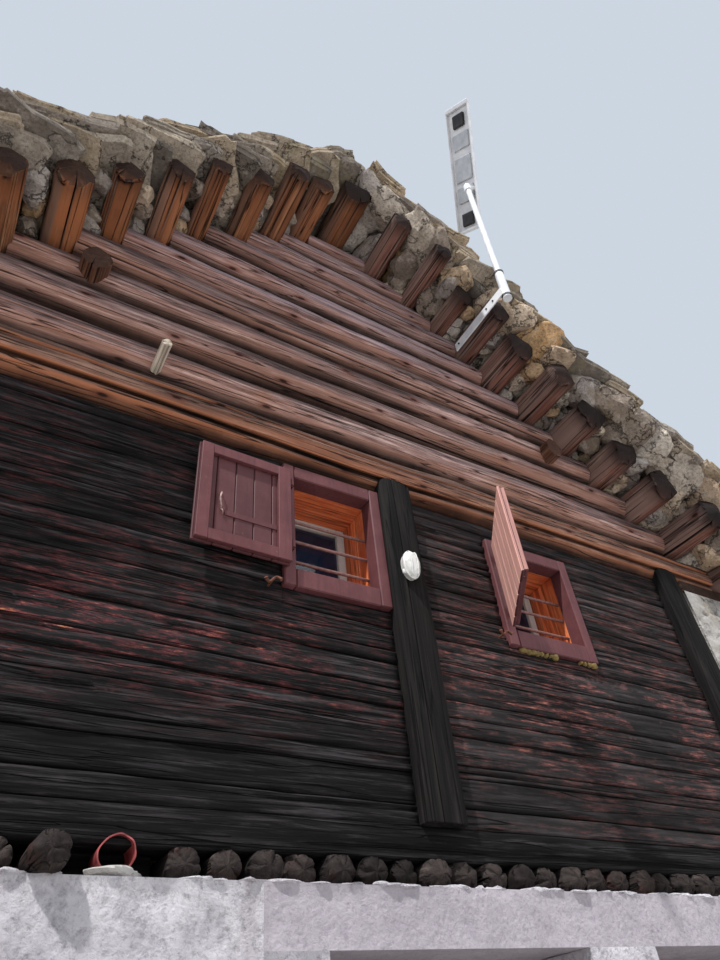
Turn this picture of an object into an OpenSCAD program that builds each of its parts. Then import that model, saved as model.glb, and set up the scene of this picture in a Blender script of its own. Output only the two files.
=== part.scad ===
// Alpine chalet: a rendered masonry ground storey, a hewn timber storey held between stone side
// walls, and a stepped log gable whose purlins carry a stone slab roof.
// X runs along the gable front, Y runs into the house and Z is up. The origin is on the ground,
// under the ridge, halfway along the house.

/* [Plan] */
// Length of the house from the front timber face to the back timber face
house_len = 6000; // [4500:100:8000]
// Width of the timber front between the stone side walls
timber_w = 4620; // [4200:20:5400]
// Thickness of the stone side walls
side_wall_t = 520; // [420:10:700]
// How far the masonry base stands proud of the timber face
base_proud = 60; // [20:5:120]

/* [Masonry base] */
// Height of the masonry base, where the floor poles lie
base_h = 2028; // [1900:2:2400]
// Thickness of the front and back base walls
base_wall_t = 500; // [400:10:650]
// Thickness of the floor slab on the ground
ground_slab_t = 60; // [40:5:120]
// Height of the concrete lintel over the two door openings
lintel_h = 168; // [138:2:260]
// Width of each door opening
door_w = 1018; // [800:2:1060]
// Left edge of the left door opening, measured from the ridge line
door_x = -323; // [-600:1:-200]
// Width of the pier between the door openings
pier_w = 328; // [250:2:420]
// Bearing of the concrete lintel on the wall at its left end
lintel_bearing = 203; // [150:1:300]

/* [Upper floor] */
// Height of the floor poles between their hewn seats
pole_h = 90; // [80:2:130]
// Distance aimed at between floor poles
pole_pitch = 124; // [118:1:160]
// How far the one long floor pole reaches out past the masonry base
long_pole_reach = 60; // [0:5:200]
// Thickness of the upper floor boards
floor_board_t = 30; // [20:2:50]

/* [Timber storey] */
// Height of the sill beam
sill_h = 110; // [70:5:140]
// Height of the hewn wall between the sill beam and the gable
hewn_wall_h = 1562; // [1450:2:1900]
// Thickness of the hewn wall
hewn_wall_t = 140; // [100:5:180]
// Number of hewn courses in the wall
hewn_courses = 18; // [14:1:22]
// Thickness of the boarded lining behind the hewn wall
lining_t = 160; // [60:5:200]
// Width of the posts
post_w = 185; // [150:5:230]
// How far the posts stand proud of the hewn wall
post_proud = 55; // [20:5:80]
// Height of the post heads above the hewn wall
post_head = 88; // [40:2:120]
// Left side of the centre post, measured from the ridge line
centre_post_x = 87; // [0:1:160]

/* [Windows] */
// Width of the left window over its frame
left_window_w = 517; // [440:1:600]
// Height of the left window over its frame
left_window_h = 670; // [560:1:760]
// Height of the left window's lower edge above the sill beam
left_window_up = 864; // [600:1:870]
// Gap between the left window's frame and the centre post
left_window_gap = 0; // [0:10:400]
// Width of the right window over its frame
right_window_w = 568; // [460:1:620]
// Height of the right window over its frame
right_window_h = 625; // [560:1:760]
// Height of the right window's lower edge above the sill beam
right_window_up = 822; // [600:1:870]
// Gap between the centre post and the right window's frame
right_window_gap = 467; // [380:1:700]
// Width of the frame boards at the sides
frame_side = 55; // [40:1:75]
// Width of the frame board at the top
frame_top = 72; // [50:1:90]
// Width of the frame board at the bottom
frame_bottom = 90; // [60:1:110]
// How far the frames stand proud of the hewn wall
frame_proud = 25; // [10:1:40]
// Depth of the frames from front to back
frame_depth = 85; // [60:1:110]
// Step between the frame and the reveal lining behind it
reveal_step = 8; // [4:1:20]
// Width of the sash members
sash_w = 42; // [30:1:60]
// Thickness of the sashes
sash_t = 45; // [35:1:60]
// Thickness of the glass
glass_t = 6; // [4:1:10]

/* [Shutters] */
// Thickness of the shutters over boards and frame
shutter_t = 34; // [28:1:45]
// Width of the shutter frame on its inner face
shutter_rail = 68; // [45:1:90]
// How much wider a shutter is than the clear opening
shutter_lap = 20; // [10:1:40]
// Opening angle of the left shutter from the closed position
left_shutter_angle = 178; // [90:1:178]
// Opening angle of the right shutter from the closed position
right_shutter_angle = 125; // [90:1:178]
// Diameter of the hinge pins
hinge_pin_d = 10; // [8:1:14]

/* [Gable logs] */
// Height of the foot log that closes the hewn wall
foot_log_h = 270; // [220:2:320]
// Height of the first round log above the foot log
log_h = 232; // [200:2:260]
// How much thinner each log is than the one below it
log_taper = 5; // [0:0.5:8]
// Width of the hewn seats between logs
log_seat_w = 110; // [90:2:130]
// Depth of the log axes behind the timber face
log_axis_in = 65; // [60:5:130]
// Fall of the highest joint to the right in degrees; the joints below it fall less and less
log_fall = 4; // [0:0.5:5]
// Diameter of the two cross beam ends
cross_beam_d = 138; // [110:2:170]
// How far the cross beam ends reach out
cross_beam_reach = 115; // [70:5:200]
// Diameter of the wooden peg
peg_d = 58; // [40:2:80]

/* [Roof] */
// Pitch of both roof slopes
roof_pitch = 40.6; // [36:0.2:44]
// Diameter of a plain purlin
purlin_d = 200; // [170:2:220]
// Diameter of the ridge purlin
ridge_purlin_d = 215; // [180:5:280]
// Purlins project this far in front of the timber face
purlin_overhang = 420; // [300:10:560]
// Stone slabs project this far in front of the plain purlin ends
verge_overhang = 120; // [70:5:180]
// Distance of the eaves purlin inside the outer wall face
eaves_purlin_in = 50; // [0:5:120]
// Slabs project this far past the outer wall face, measured level
eaves_overhang = 400; // [300:10:550]
// Thickness of the stone roof at the lower edge of each slab course
roof_t = 215; // [150:5:280]
// Step between one slab course and the next
slab_step = 55; // [20:1:80]
// Length of each slab course along the slope
slab_course = 310; // [240:5:420]
// Width of the slabs along the eaves
slab_w = 584; // [420:4:800]
// How much slabs differ in thickness and in reach, up and down
slab_play = 34; // [0:2:44]
// Thickness of the ridge slabs
ridge_slab_t = 60; // [40:5:90]

/* [Fittings] */
// Height of the oval lamp on the centre post
lamp_h = 152; // [130:2:200]
// Width of the oval lamp
lamp_w = 90; // [76:2:120]
// Height of the lamp's middle above the sill beam
lamp_up = 1084; // [700:4:1300]
// Diameter of the broken drain pipe
pipe_d = 98; // [80:1:106]
// Diameter of the antenna mast
mast_d = 42; // [32:1:50]
// Length of the antenna mast above its sleeve
mast_len = 1356; // [1000:4:1700]
// Lean of the mast to the right in degrees
mast_lean = 2.5; // [0:0.5:5]
// Length of the antenna panel
panel_len = 1046; // [900:2:1300]
// Width of the antenna panel
panel_w = 242; // [200:2:320]
// Depth of the antenna panel
panel_t = 34; // [24:1:50]

/* [Hidden] */

$fn = 48;
fit = 0.2; // clearance between pieces that rest on or stand against each other

// Main planes, in plan and in height
front_y = -house_len / 2;
base_y = front_y - base_proud;
door_h = base_h - lintel_h;
half_w = timber_w / 2;
outer_x = half_w + side_wall_t;
door2_x = door_x + door_w + pier_w;
door2_end = door2_x + door_w;
lintel_x0 = door_x - lintel_bearing;
lintel_x1 = min(door2_end + lintel_bearing, outer_x - lintel_bearing);
pole_top = base_h + pole_h;
sill_top = pole_top + sill_h;
gable_z = sill_top + hewn_wall_h;
lining_y = front_y + hewn_wall_t + lining_t;
plate_t = 75; // thickness of the side wall plates
plate_edge = 60; // how far the plates stand out past the walls

// Plane of the roof: the purlins touch it from below and the slabs lie on it
purlin_r = purlin_d / 2;
roof_c = (outer_x - eaves_purlin_in) * sin(roof_pitch) + (gable_z + purlin_r) * cos(roof_pitch) + purlin_r;
roof_apex = roof_c / cos(roof_pitch);
ridge_r = ridge_purlin_d / 2;
ridge_seat = roof_apex - ridge_r * (1 + 1 / cos(roof_pitch));
verge_y = front_y - purlin_overhang - verge_overhang;

// Joint under log k at the ridge line, counted from the first log above the foot log
function joint(k) = gable_z + foot_log_h + k * log_h - log_taper * k * (k - 1) / 2;
top_logs = [for (k = [0:24]) if (joint(k) < ridge_seat - 0.7 * log_h && joint(k + 1) > joint(k)) k];
last_log = max(top_logs);
function log_bottom(k) = k < 0 ? gable_z : joint(k);
function log_top(k) = k == last_log ? ridge_seat : joint(k + 1);

// The joints fan out: the one under the foot log is level, and each one above it falls a bit more
function fall(k) = k > last_log ? 0 : log_fall * (k + 1) / (last_log + 1);
function under(k, x) = log_bottom(k) - x * tan(fall(k));
function over(k, x) = log_top(k) - x * tan(fall(k + 1));

// Purlins differ in girth and in reach, as chosen by eye; index 0 is the eaves purlin.
// Each one lies on the joint under log k and touches the plane of the roof from below.
left_girth = [1, 1.02, 1, 0.92, 0.9, 0.76, 0.74, 0.6, 0.72, 0.74, 0.78];
right_girth = [1, 1.04, 1.07, 1.06, 1.07, 1.04, 1.08, 0.92, 0.72, 0.66, 0.78];
left_reach = [1, 1, 1, 1, 0.91, 0.95, 1.02, 1.1, 1.03, 1.17, 1];
right_reach = [1, 1, 0.8, 0.78, 0.88, 1.04, 0.93, 1.1, 0.85, 1.17, 1.1];
function of_side(left, right, k, side) = side < 0 ? left[(k + 1) % 11] : right[(k + 1) % 11];
function seat_r(k, side) = purlin_r * of_side(left_girth, right_girth, k, side);
function seat_x(k, side) =
  (roof_c - seat_r(k, side) - (log_bottom(k) + seat_r(k, side) / cos(fall(k))) * cos(roof_pitch))
  / (side * sin(roof_pitch) - tan(fall(k)) * cos(roof_pitch));
function seat_z(k, side) = under(k, seat_x(k, side)) + seat_r(k, side) / cos(fall(k));

// Window boxes: left edge, lower edge, width and height over the frame
left_window = [centre_post_x - left_window_gap - left_window_w, sill_top + left_window_up,
               left_window_w, left_window_h];
right_window = [centre_post_x + post_w + right_window_gap, sill_top + right_window_up,
                right_window_w, right_window_h];
windows = [left_window, right_window];

// Floor poles: the pipe takes the place of two poles, and one pole reaches out past the wall
pole_count = floor(timber_w / pole_pitch);
pole_step = timber_w / pole_count;
long_pole = 9;
pipe_slot = 10;
function pole_x(i) = -half_w + (i + 0.5) * pole_step;
pipe_x = pole_x(pipe_slot) + pole_step / 2;

// Box given by its low and high corners
module block(low, high) {
  translate(low) cube(high - low);
}

// Outline in X and Z made as deep as the distance from y0 to y1
module upright(points, y0, y1) {
  translate([0, y1, 0]) rotate([90, 0, 0]) linear_extrude(y1 - y0) polygon(points);
}

module both_sides() {
  children();
  mirror([1, 0, 0]) children();
}

module at_back() {
  mirror([0, 1, 0]) children();
}

// Masonry
module ground_floor_slab() {
  color("gray")
    block([-half_w, base_y + base_wall_t, 0], [half_w, -base_y - base_wall_t, ground_slab_t]);
}

module front_base_left() {
  color("gainsboro")
    upright([[-outer_x, 0], [door_x, 0], [door_x, door_h], [lintel_x0, door_h],
             [lintel_x0, base_h], [-outer_x, base_h]], base_y, base_y + base_wall_t);
}

module front_base_pier() {
  color("gainsboro")
    block([door_x + door_w, base_y, 0], [door2_x, base_y + base_wall_t, door_h]);
}

module front_base_right() {
  color("gainsboro")
    upright([[door2_end, 0], [outer_x, 0], [outer_x, base_h], [lintel_x1, base_h],
             [lintel_x1, door_h], [door2_end, door_h]], base_y, base_y + base_wall_t);
}

module front_lintel() {
  color("lightgray")
    block([lintel_x0, base_y, door_h], [lintel_x1, base_y + base_wall_t, base_h]);
}

// Stone wall that stands between the base walls and runs over them up to the wall plate
module side_wall() {
  top = gable_z - plate_t;
  inner = base_y + base_wall_t;
  color("darkgray")
    translate([half_w, 0, 0]) rotate([90, 0, 90]) linear_extrude(side_wall_t)
      polygon([[inner, 0], [-inner, 0], [-inner, base_h], [-base_y, base_h], [-base_y, top],
               [base_y, top], [base_y, base_h], [inner, base_h]]);
}

module left_side_wall() {
  mirror([1, 0, 0]) side_wall();
}

module right_side_wall() {
  side_wall();
}

module back_base_wall() {
  color("gainsboro")
    block([-outer_x, -base_y - base_wall_t, 0], [outer_x, -base_y, base_h]);
}

module side_wall_plates() {
  color("saddlebrown")
    both_sides()
      block([half_w, base_y, gable_z - plate_t], [outer_x + plate_edge, -base_y, gable_z]);
}

// Upper floor
// The poles are hewn flat above and below, and their ends lie just behind the edge of the base
module floor_pole(i) {
  reach = i == long_pole ? long_pole_reach : -30 + 14 * sin(i * 137);
  girth_d = min(pole_step - 4, pole_h + 18 + 12 * sin(i * 77));
  intersection() {
    translate([pole_x(i), base_y - reach, base_h + pole_h / 2])
      rotate([-90, 0, 0]) cylinder(d = girth_d, h = -2 * base_y + 2 * reach);
    translate([pole_x(i), 0, base_h + pole_h / 2])
      cube([2 * girth_d, 3 * house_len, pole_h], center = true);
  }
}

module floor_poles() {
  color("dimgray")
    for (i = [0:pole_count - 1])
      if (i != pipe_slot && i != pipe_slot + 1) floor_pole(i);
}

module upper_floor_boards() {
  color("peru")
    block([-half_w, lining_y, pole_top], [half_w, -front_y - hewn_wall_t, pole_top + floor_board_t]);
}

// Stub of a drain pipe between two floor poles: it ends in a notch of the sill beam, and its mouth
// is broken off askew
bed_lift = 18;
bed_lip = 36;
pipe_wall = 4;
mouth_skew = 18;
pipe_front = base_y + bed_lip + 3;
pipe_z = base_h + bed_lift + pipe_d / 2 + fit;
module pipe_body(d, y0, y1) {
  translate([pipe_x, y0, pipe_z]) rotate([-90, 0, 0]) cylinder(d = d, h = y1 - y0);
}

module drain_pipe_stub() {
  color("indianred")
    difference() {
      pipe_body(pipe_d, pipe_front, front_y + hewn_wall_t - 1);
      pipe_body(pipe_d - 2 * pipe_wall, pipe_front - 1, front_y + hewn_wall_t);
      translate([pipe_x + pipe_d / 2, base_y + bed_lip, base_h])
        rotate([0, 0, mouth_skew]) translate([-2 * pipe_d, -pipe_d, 0]) cube([4 * pipe_d, pipe_d, 2 * pipe_d]);
    }
}

// Flat stone that the pipe lies on, with a lip in front of its mouth
module pipe_bed_stone() {
  half = 0.72 * pipe_d;
  color("darkgray")
    translate([pipe_x - half, base_y + 4, base_h]) rotate([90, 0, 90]) linear_extrude(2 * half)
      polygon([[0, 0], [8, bed_lift + 6], [bed_lip - 14, bed_lift + 12], [bed_lip - 5, bed_lift],
               [bed_lip + 60, bed_lift], [bed_lip + 75, 0]]);
}

// Timber storey
module sill_beam() {
  color([0.2, 0.16, 0.15])
    block([-half_w, front_y, pole_top], [half_w, front_y + hewn_wall_t, sill_top]);
}

module front_sill_beam() {
  color([0.2, 0.16, 0.15])
    difference() {
      sill_beam();
      pipe_body(pipe_d + 2 * fit, front_y - 1, front_y + hewn_wall_t + 1);
    }
}

module back_sill_beam() {
  at_back() sill_beam();
}

// Joint j of the hewn wall: the hewn courses are uneven
function plank_z(j) = sill_top + hewn_wall_h * (j <= 0 ? 0 : j >= hewn_courses ? 1
  : (j + 0.2 * sin(j * 217)) / hewn_courses);

// One hewn course from x0 to x1, its front edges eased
module plank(x0, x1, j) {
  ease = 9;
  z0 = plank_z(j) + fit;
  z1 = plank_z(j + 1);
  translate([x0, 0, 0]) rotate([90, 0, 90]) linear_extrude(x1 - x0)
    polygon([[front_y + ease, z0], [front_y + hewn_wall_t, z0], [front_y + hewn_wall_t, z1],
             [front_y + ease, z1], [front_y, z1 - ease], [front_y, z0 + ease]]);
}

module window_hole(w) {
  block([w[0], front_y - 200, w[1]], [w[0] + w[2], lining_y + 200, w[1] + w[3]]);
}

module planks(x0, x1) {
  color([0.2, 0.16, 0.15])
    difference() {
      for (j = [0:hewn_courses - 1]) plank(x0, x1, j);
      for (w = windows) window_hole(w);
    }
}

module front_planks_left() {
  planks(-half_w + post_w, centre_post_x);
}

module front_planks_right() {
  planks(centre_post_x + post_w, half_w - post_w);
}

module back_planks() {
  color([0.2, 0.16, 0.15])
    at_back()
      for (j = [0:hewn_courses - 1]) plank(-half_w + post_w, half_w - post_w, j);
}

module post(x) {
  color([0.24, 0.2, 0.18])
    block([x, front_y - post_proud, sill_top], [x + post_w, front_y + hewn_wall_t, gable_z + post_head]);
}

module front_centre_post() {
  post(centre_post_x);
}

module front_corner_posts() {
  post(-half_w);
  post(half_w - post_w);
}

module back_posts() {
  at_back() front_corner_posts();
}

// Lining panel over one stretch of the wall
module lining_panel(x0, x1, z0, z1) {
  block([x0 + fit, front_y + hewn_wall_t, z0], [x1 - fit, lining_y, z1]);
}

module front_inner_lining() {
  edges = [-half_w, left_window[0], left_window[0] + left_window[2],
           right_window[0], right_window[0] + right_window[2], half_w];
  color("burlywood") {
    for (i = [0, 2, 4]) lining_panel(edges[i], edges[i + 1], pole_top, gable_z);
    for (w = windows) {
      lining_panel(w[0], w[0] + w[2], pole_top, w[1]);
      lining_panel(w[0], w[0] + w[2], w[1] + w[3], gable_z);
    }
  }
}

// Round log with hewn seats along the joints above and below it. It ends against the purlins
// that lie on the log below.
module round_log(k) {
  x0 = seat_x(k, -1) + seat_r(k, -1) + fit;
  x1 = seat_x(k, 1) - seat_r(k, 1) - fit;
  high = log_top(k) - log_bottom(k);
  d = sqrt(high * high + log_seat_w * log_seat_w);
  lean = (fall(k) + fall(k + 1)) / 2;
  intersection() {
    translate([0, front_y + log_axis_in, log_bottom(k) + high / 2])
      rotate([0, 90 + lean, 0]) cylinder(d = d, h = 2 * outer_x, center = true);
    upright([[x0, under(k, x0) + fit], [x1, under(k, x1) + fit], [x1, over(k, x1)], [x0, over(k, x0)]],
            front_y - d, front_y + 2 * d);
  }
}

module gable_logs() {
  for (k = [-1:last_log]) round_log(k);
}

module front_gable_logs() {
  color("rosybrown")
    difference() {
      gable_logs();
      front_centre_post();
      front_corner_posts();
      stub_bores(fit);
      peg_bore(fit);
    }
}

module back_gable_logs() {
  color("rosybrown")
    at_back() difference() {
      gable_logs();
      front_corner_posts();
    }
}

// Ends of two cross beams that show through the gable, let in at the joint under their log
stub_log = 2;
stub_xs = [-1447, 1480];
stub_up = 20;
stub_in = 300;
module stub_bores(gap) {
  for (x = stub_xs)
    translate([x, front_y - cross_beam_reach, under(stub_log, x) + stub_up])
      rotate([-90, 0, 0]) cylinder(d = cross_beam_d + 2 * gap, h = cross_beam_reach + stub_in);
}

module cross_beam_ends() {
  color("sienna") stub_bores(0);
}

// Pale peg driven in at the joint above the foot log
peg_x = -1068;
peg_up = 16;
peg_reach = 200;
peg_in = 90;
module peg_bore(gap) {
  translate([peg_x, front_y - peg_reach, under(0, peg_x) + peg_up])
    rotate([-90, 0, 0]) cylinder(d = peg_d + 2 * gap, h = peg_reach + peg_in);
}

module wooden_peg() {
  color("tan") peg_bore(0);
}

// Windows
// Frame of four boards around box w, each board a piece of its own
module ring(w, side, top, bottom, y0, y1) {
  x1 = w[0] + w[2];
  z1 = w[1] + w[3];
  block([w[0], y0, w[1]], [w[0] + side, y1, z1]);
  block([x1 - side, y0, w[1]], [x1, y1, z1]);
  block([w[0] + side + fit, y0, w[1]], [x1 - side - fit, y1, w[1] + bottom]);
  block([w[0] + side + fit, y0, z1 - top], [x1 - side - fit, y1, z1]);
}

// What is left of box w inside a ring
function inside(w, side, top, bottom) = [w[0] + side, w[1] + bottom, w[2] - 2 * side, w[3] - top - bottom];
function clear_opening(w) = inside(w, frame_side, frame_top, frame_bottom);
function reveal_opening(w) =
  inside(w, frame_side - reveal_step, frame_top - reveal_step, frame_bottom - reveal_step);

frame_front = front_y - frame_proud;
frame_back = frame_front + frame_depth;

// Hinges: the pins stand beside the leaf, halfway through its thickness, so that it lies as close
// in front of the frame when it is folded back as when it is closed
hinge_y = frame_front - shutter_t / 2 - 2.5;
hinge_side = 1.3 * hinge_pin_d;
arm_t = 8;
knuckle_h = 36;
knuckle_d = 2 * hinge_pin_d;
function hinge_x(w) = clear_opening(w)[0] - shutter_lap / 2 - hinge_side;
function hinge_zs(w) = [for (t = [0.16, 0.84]) clear_opening(w)[1] + t * clear_opening(w)[3]];

module pintle(x, z) {
  block([x - hinge_pin_d / 2, hinge_y, z - arm_t], [x + hinge_pin_d / 2, frame_front + 10, z]);
  translate([x, hinge_y, z - arm_t]) cylinder(d = hinge_pin_d, h = arm_t + knuckle_h);
}

module window_frames() {
  color([0.42, 0.26, 0.27])
    for (w = windows) {
      ring(w, frame_side, frame_top, frame_bottom, frame_front, frame_back);
      for (z = hinge_zs(w)) pintle(hinge_x(w), z);
    }
}

module window_reveals() {
  color("chocolate")
    for (w = windows)
      ring(w, frame_side - reveal_step, frame_top - reveal_step, frame_bottom - reveal_step,
           frame_back, lining_y);
}

module window_sashes() {
  color("white")
    for (w = windows) {
      o = reveal_opening(w);
      ring(o, sash_w, sash_w, sash_w, lining_y - sash_t, lining_y);
    }
}

module window_panes() {
  color("steelblue")
    for (w = windows) {
      o = inside(reveal_opening(w), sash_w, sash_w, sash_w);
      mid = lining_y - sash_t / 2;
      block([o[0], mid - glass_t / 2, o[1]], [o[0] + o[2], mid + glass_t / 2, o[1] + o[3]]);
    }
}

// Shutter on its hinge axis, closed position along +X, boarded outer face towards -Y and framed
// inner face towards the window
boards = 5;
board_t = 14;
groove = 3;
edge_step = 8;

module shutter_leaf(w) {
  o = clear_opening(w);
  x0 = hinge_side;
  wide = o[2] + shutter_lap;
  tall = o[3] + shutter_lap;
  z0 = o[1] - shutter_lap / 2;
  outer = -shutter_t / 2;
  inner = shutter_t / 2;
  strap_t = 4;
  strap_h = 26;
  difference() {
    union() {
      block([x0, outer, z0], [x0 + wide, outer + board_t, z0 + tall]);
      difference() {
        block([x0, outer + board_t - 1, z0 + edge_step],
              [x0 + wide - edge_step, inner, z0 + tall - edge_step]);
        block([x0 + shutter_rail, outer + board_t, z0 + shutter_rail],
              [x0 + wide - shutter_rail, inner + 1, z0 + tall - shutter_rail]);
      }
      // Iron strap and handle in the recess
      block([x0 + shutter_rail - 1, outer + board_t - 1, z0 + 0.3 * tall],
            [x0 + 0.7 * wide, outer + board_t + strap_t, z0 + 0.3 * tall + strap_h]);
      block([x0 + 0.74 * wide, outer + board_t - 1, z0 + 0.36 * tall],
            [x0 + 0.74 * wide + groove * 4, inner - strap_t, z0 + 0.36 * tall + 3 * strap_h]);
      for (z = hinge_zs(w)) {
        translate([0, 0, z + fit]) cylinder(d = knuckle_d, h = knuckle_h - 2);
        block([0, -strap_t, z + fit], [x0 + 2, strap_t, z + knuckle_h - 2]);
      }
    }
    for (i = [1:boards - 1], y = [outer - 1, outer + board_t - groove + 1])
      block([x0 + i * wide / boards, y, z0 - 1], [x0 + i * wide / boards + groove, y + groove, z0 + tall + 1]);
    for (z = hinge_zs(w)) {
      translate([0, 0, z - 20]) cylinder(d = hinge_pin_d + 2 * fit, h = knuckle_h + 40);
    }
  }
}

module shutter(w, angle) {
  color([0.45, 0.28, 0.28])
    translate([hinge_x(w), hinge_y, 0]) rotate([0, 0, -angle]) shutter_leaf(w);
}

module left_shutter() {
  shutter(left_window, left_shutter_angle);
}

module right_shutter() {
  shutter(right_window, right_shutter_angle);
}

// Turning catches that hold an open shutter
catch_reach = 40;
module holdback(x, z) {
  translate([x, front_y - catch_reach, z]) rotate([-90, 0, 0]) cylinder(d = 10, h = catch_reach);
  translate([x, front_y - catch_reach - 4, z]) cube([70, 8, 16], center = true);
}

module shutter_holdbacks() {
  color("firebrick") {
    holdback(left_window[0] - 60, left_window[1] - 10);
    holdback(right_window[0] - 45, right_window[1] + 40);
  }
}

// Roof
// Round timber along Y from its front end to the same distance at the back, ends axe-cut to a bevel
end_bevel = 45;
module bevelled_beam(x, z, r, end) {
  translate([x, end, z]) rotate([-90, 0, 0]) rotate_extrude()
    polygon([[0, 0], [0.7 * r, 0], [r, end_bevel], [r, -2 * end - end_bevel], [0.7 * r, -2 * end],
             [0, -2 * end]]);
}

module purlin(k, side) {
  reach = purlin_overhang * of_side(left_reach, right_reach, k, side);
  bevelled_beam(seat_x(k, side), seat_z(k, side) + fit, seat_r(k, side) - fit, front_y - reach);
}

module purlins_left() {
  color("sienna")
    for (k = [-1:last_log]) purlin(k, -1);
}

module purlins_right() {
  color("sienna")
    for (k = [-1:last_log]) purlin(k, 1);
}

module ridge_purlin() {
  color("sienna")
    bevelled_beam(0, ridge_seat + ridge_r + fit, ridge_r - fit, front_y - purlin_overhang);
}

// Point of the right slope: s runs down the slope from the ridge, t stands square to it
function slope_point(s, t) = [s * cos(roof_pitch) + t * sin(roof_pitch),
                              roof_apex - s * sin(roof_pitch) + t * cos(roof_pitch)];
slope_len = (outer_x + eaves_overhang) / cos(roof_pitch);
slab_rows = round(slope_len / slab_course);
row_len = slope_len / slab_rows;
roof_thin = roof_t - slab_step;
ridge_s = -roof_thin * tan(roof_pitch);

// Solid under the slabs: the topmost course keeps its full height, so that the ridge slabs lie on it
slab_bed = slab_play + 14;
slab_joint = 14;
module roof_bed() {
  upright(concat(
      [slope_point(0, 0), slope_point(ridge_s, roof_thin), slope_point(row_len, roof_t)],
      [for (i = [1:slab_rows - 1]) each [slope_point(i * row_len, roof_thin - slab_bed),
                                         slope_point((i + 1) * row_len - slab_joint, roof_t - slab_bed)]],
      [slope_point(slope_len - slab_joint, 0)]), verge_y + slab_play, -verge_y - slab_play);
}

// Ends of slab j in a course that has its joints shifted by half a slab when i is odd
slab_count = round(-2 * verge_y / slab_w);
slab_step_y = -2 * verge_y / slab_count;
function slab_edge(i, j) = verge_y + (j - (i % 2) / 2) * slab_step_y;
function slab_ends(i, j) = [
  j == 0 ? verge_y + slab_play * pow(sin(i * 83), 2) : slab_edge(i, j) + slab_joint / 2,
  slab_edge(i, j + 1) > -verge_y - 1 ? -verge_y - slab_play * pow(sin(i * 47), 2)
                                     : slab_edge(i, j + 1) - slab_joint / 2];

module roof_slab(i, j) {
  lift = slab_play * sin(i * 217 + j * 137);
  lip = slab_play * sin(i * 59 + j * 211);
  s0 = i * row_len - slab_joint;
  s1 = (i + 1) * row_len + lip - slab_play;
  ends = slab_ends(i, j);
  upright([slope_point(s0, roof_thin - slab_bed - 10), slope_point(s0, roof_thin + lift),
           slope_point(s1, roof_t + lift), slope_point(s1, roof_t - slab_bed - 10)], ends[0], ends[1]);
}

module roof_slope() {
  roof_bed();
  for (i = [1:slab_rows - 1], j = [0:slab_count - 1 + i % 2]) roof_slab(i, j);
}

module roof_slabs_left() {
  color("darkkhaki") mirror([1, 0, 0]) roof_slope();
}

module roof_slabs_right() {
  color("darkkhaki") roof_slope();
}

// Slabs laid over the joint of both slopes
ridge_share = 0.82;
module ridge_slab(j) {
  share = ridge_share + 0.1 * sin(j * 111);
  foot = slope_point(ridge_s + share * (row_len - ridge_s), roof_thin + share * slab_step);
  tip = slope_point(ridge_s, roof_thin);
  rise = (ridge_slab_t + slab_play / 2 * sin(j * 137)) / cos(roof_pitch);
  upright([tip, foot, [foot[0], foot[1] + rise], [0, tip[1] + rise],
           [-foot[0], foot[1] + rise], [-foot[0], foot[1]]],
          slab_edge(0, j) + slab_joint / 2, slab_edge(0, j + 1) - slab_joint / 2);
}

module ridge_slabs() {
  color("gray")
    for (j = [0:slab_count - 1]) ridge_slab(j);
}

// Oval lamp on the centre post
module stadium(w, h) {
  translate([0, (h - w) / 2]) circle(d = w);
  translate([0, -(h - w) / 2]) circle(d = w);
  square([w, h - w], center = true);
}

// Back box, rim and a cover that narrows in steps
lamp_layers = [[16, 6], [26, 0], [38, 12], [46, 26], [50, 44]]; // depth reached, width taken off
module wall_lamp() {
  color("white")
    translate([centre_post_x + post_w / 2, front_y - post_proud, sill_top + lamp_up])
      rotate([90, 0, 0])
        for (layer = lamp_layers)
          linear_extrude(layer[0]) stadium(lamp_w - layer[1], lamp_h - layer[1]);
}

// Antenna: an arm bolted to a purlin carries a sleeve, a mast and a panel
arm_log = 6;
arm_side_x = seat_x(arm_log, 1) - seat_r(arm_log, 1);
arm_z = seat_z(arm_log, 1) - 34;
arm_bar_t = 8;
arm_bar_h = 74;
sleeve_d = 60;
sleeve_len = 330;
mast_x = arm_side_x + 26;
mast_y = verge_y - sleeve_d / 2 - 5;
sleeve_z = arm_z - 70;
mast_top = sleeve_len + mast_len;
neck_len = 60;
socket_len = 80;
panel_up = 200;
panel_aside = 85;
panel_turn = [37, -28, -4];
panel_rim = 16;
rib_w = 26;

// Place in line with the mast, measured up from the foot of its sleeve
module on_mast() {
  translate([mast_x, mast_y, sleeve_z]) rotate([0, mast_lean, 0]) children();
}

module antenna_bracket() {
  color("white")
    difference() {
      union() {
        block([arm_side_x - arm_bar_t, mast_y, arm_z - arm_bar_h / 2],
              [arm_side_x, front_y - 60, arm_z + arm_bar_h / 2]);
        on_mast() cylinder(d = sleeve_d, h = sleeve_len);
      }
      on_mast() translate([0, 0, -1]) cylinder(d = mast_d + 2 * fit, h = sleeve_len + 2);
    }
}

module antenna_mast() {
  color("whitesmoke") on_mast() cylinder(d = mast_d, h = mast_top);
}

// Tray with a rim, two cross ribs and a rib along its middle, open towards the mast
module panel_tray() {
  difference() {
    cube([panel_t, panel_w, panel_len], center = true);
    for (side = [-1, 1], end = [-1, 0, 1])
      translate([-panel_t / 2, side * (panel_w + rib_w - 2 * panel_rim) / 4,
                 end * (panel_len - panel_rim) / 3])
        cube([panel_t, (panel_w - rib_w - 2 * panel_rim) / 2, (panel_len - 4 * panel_rim) / 3],
             center = true);
  }
}

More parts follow.
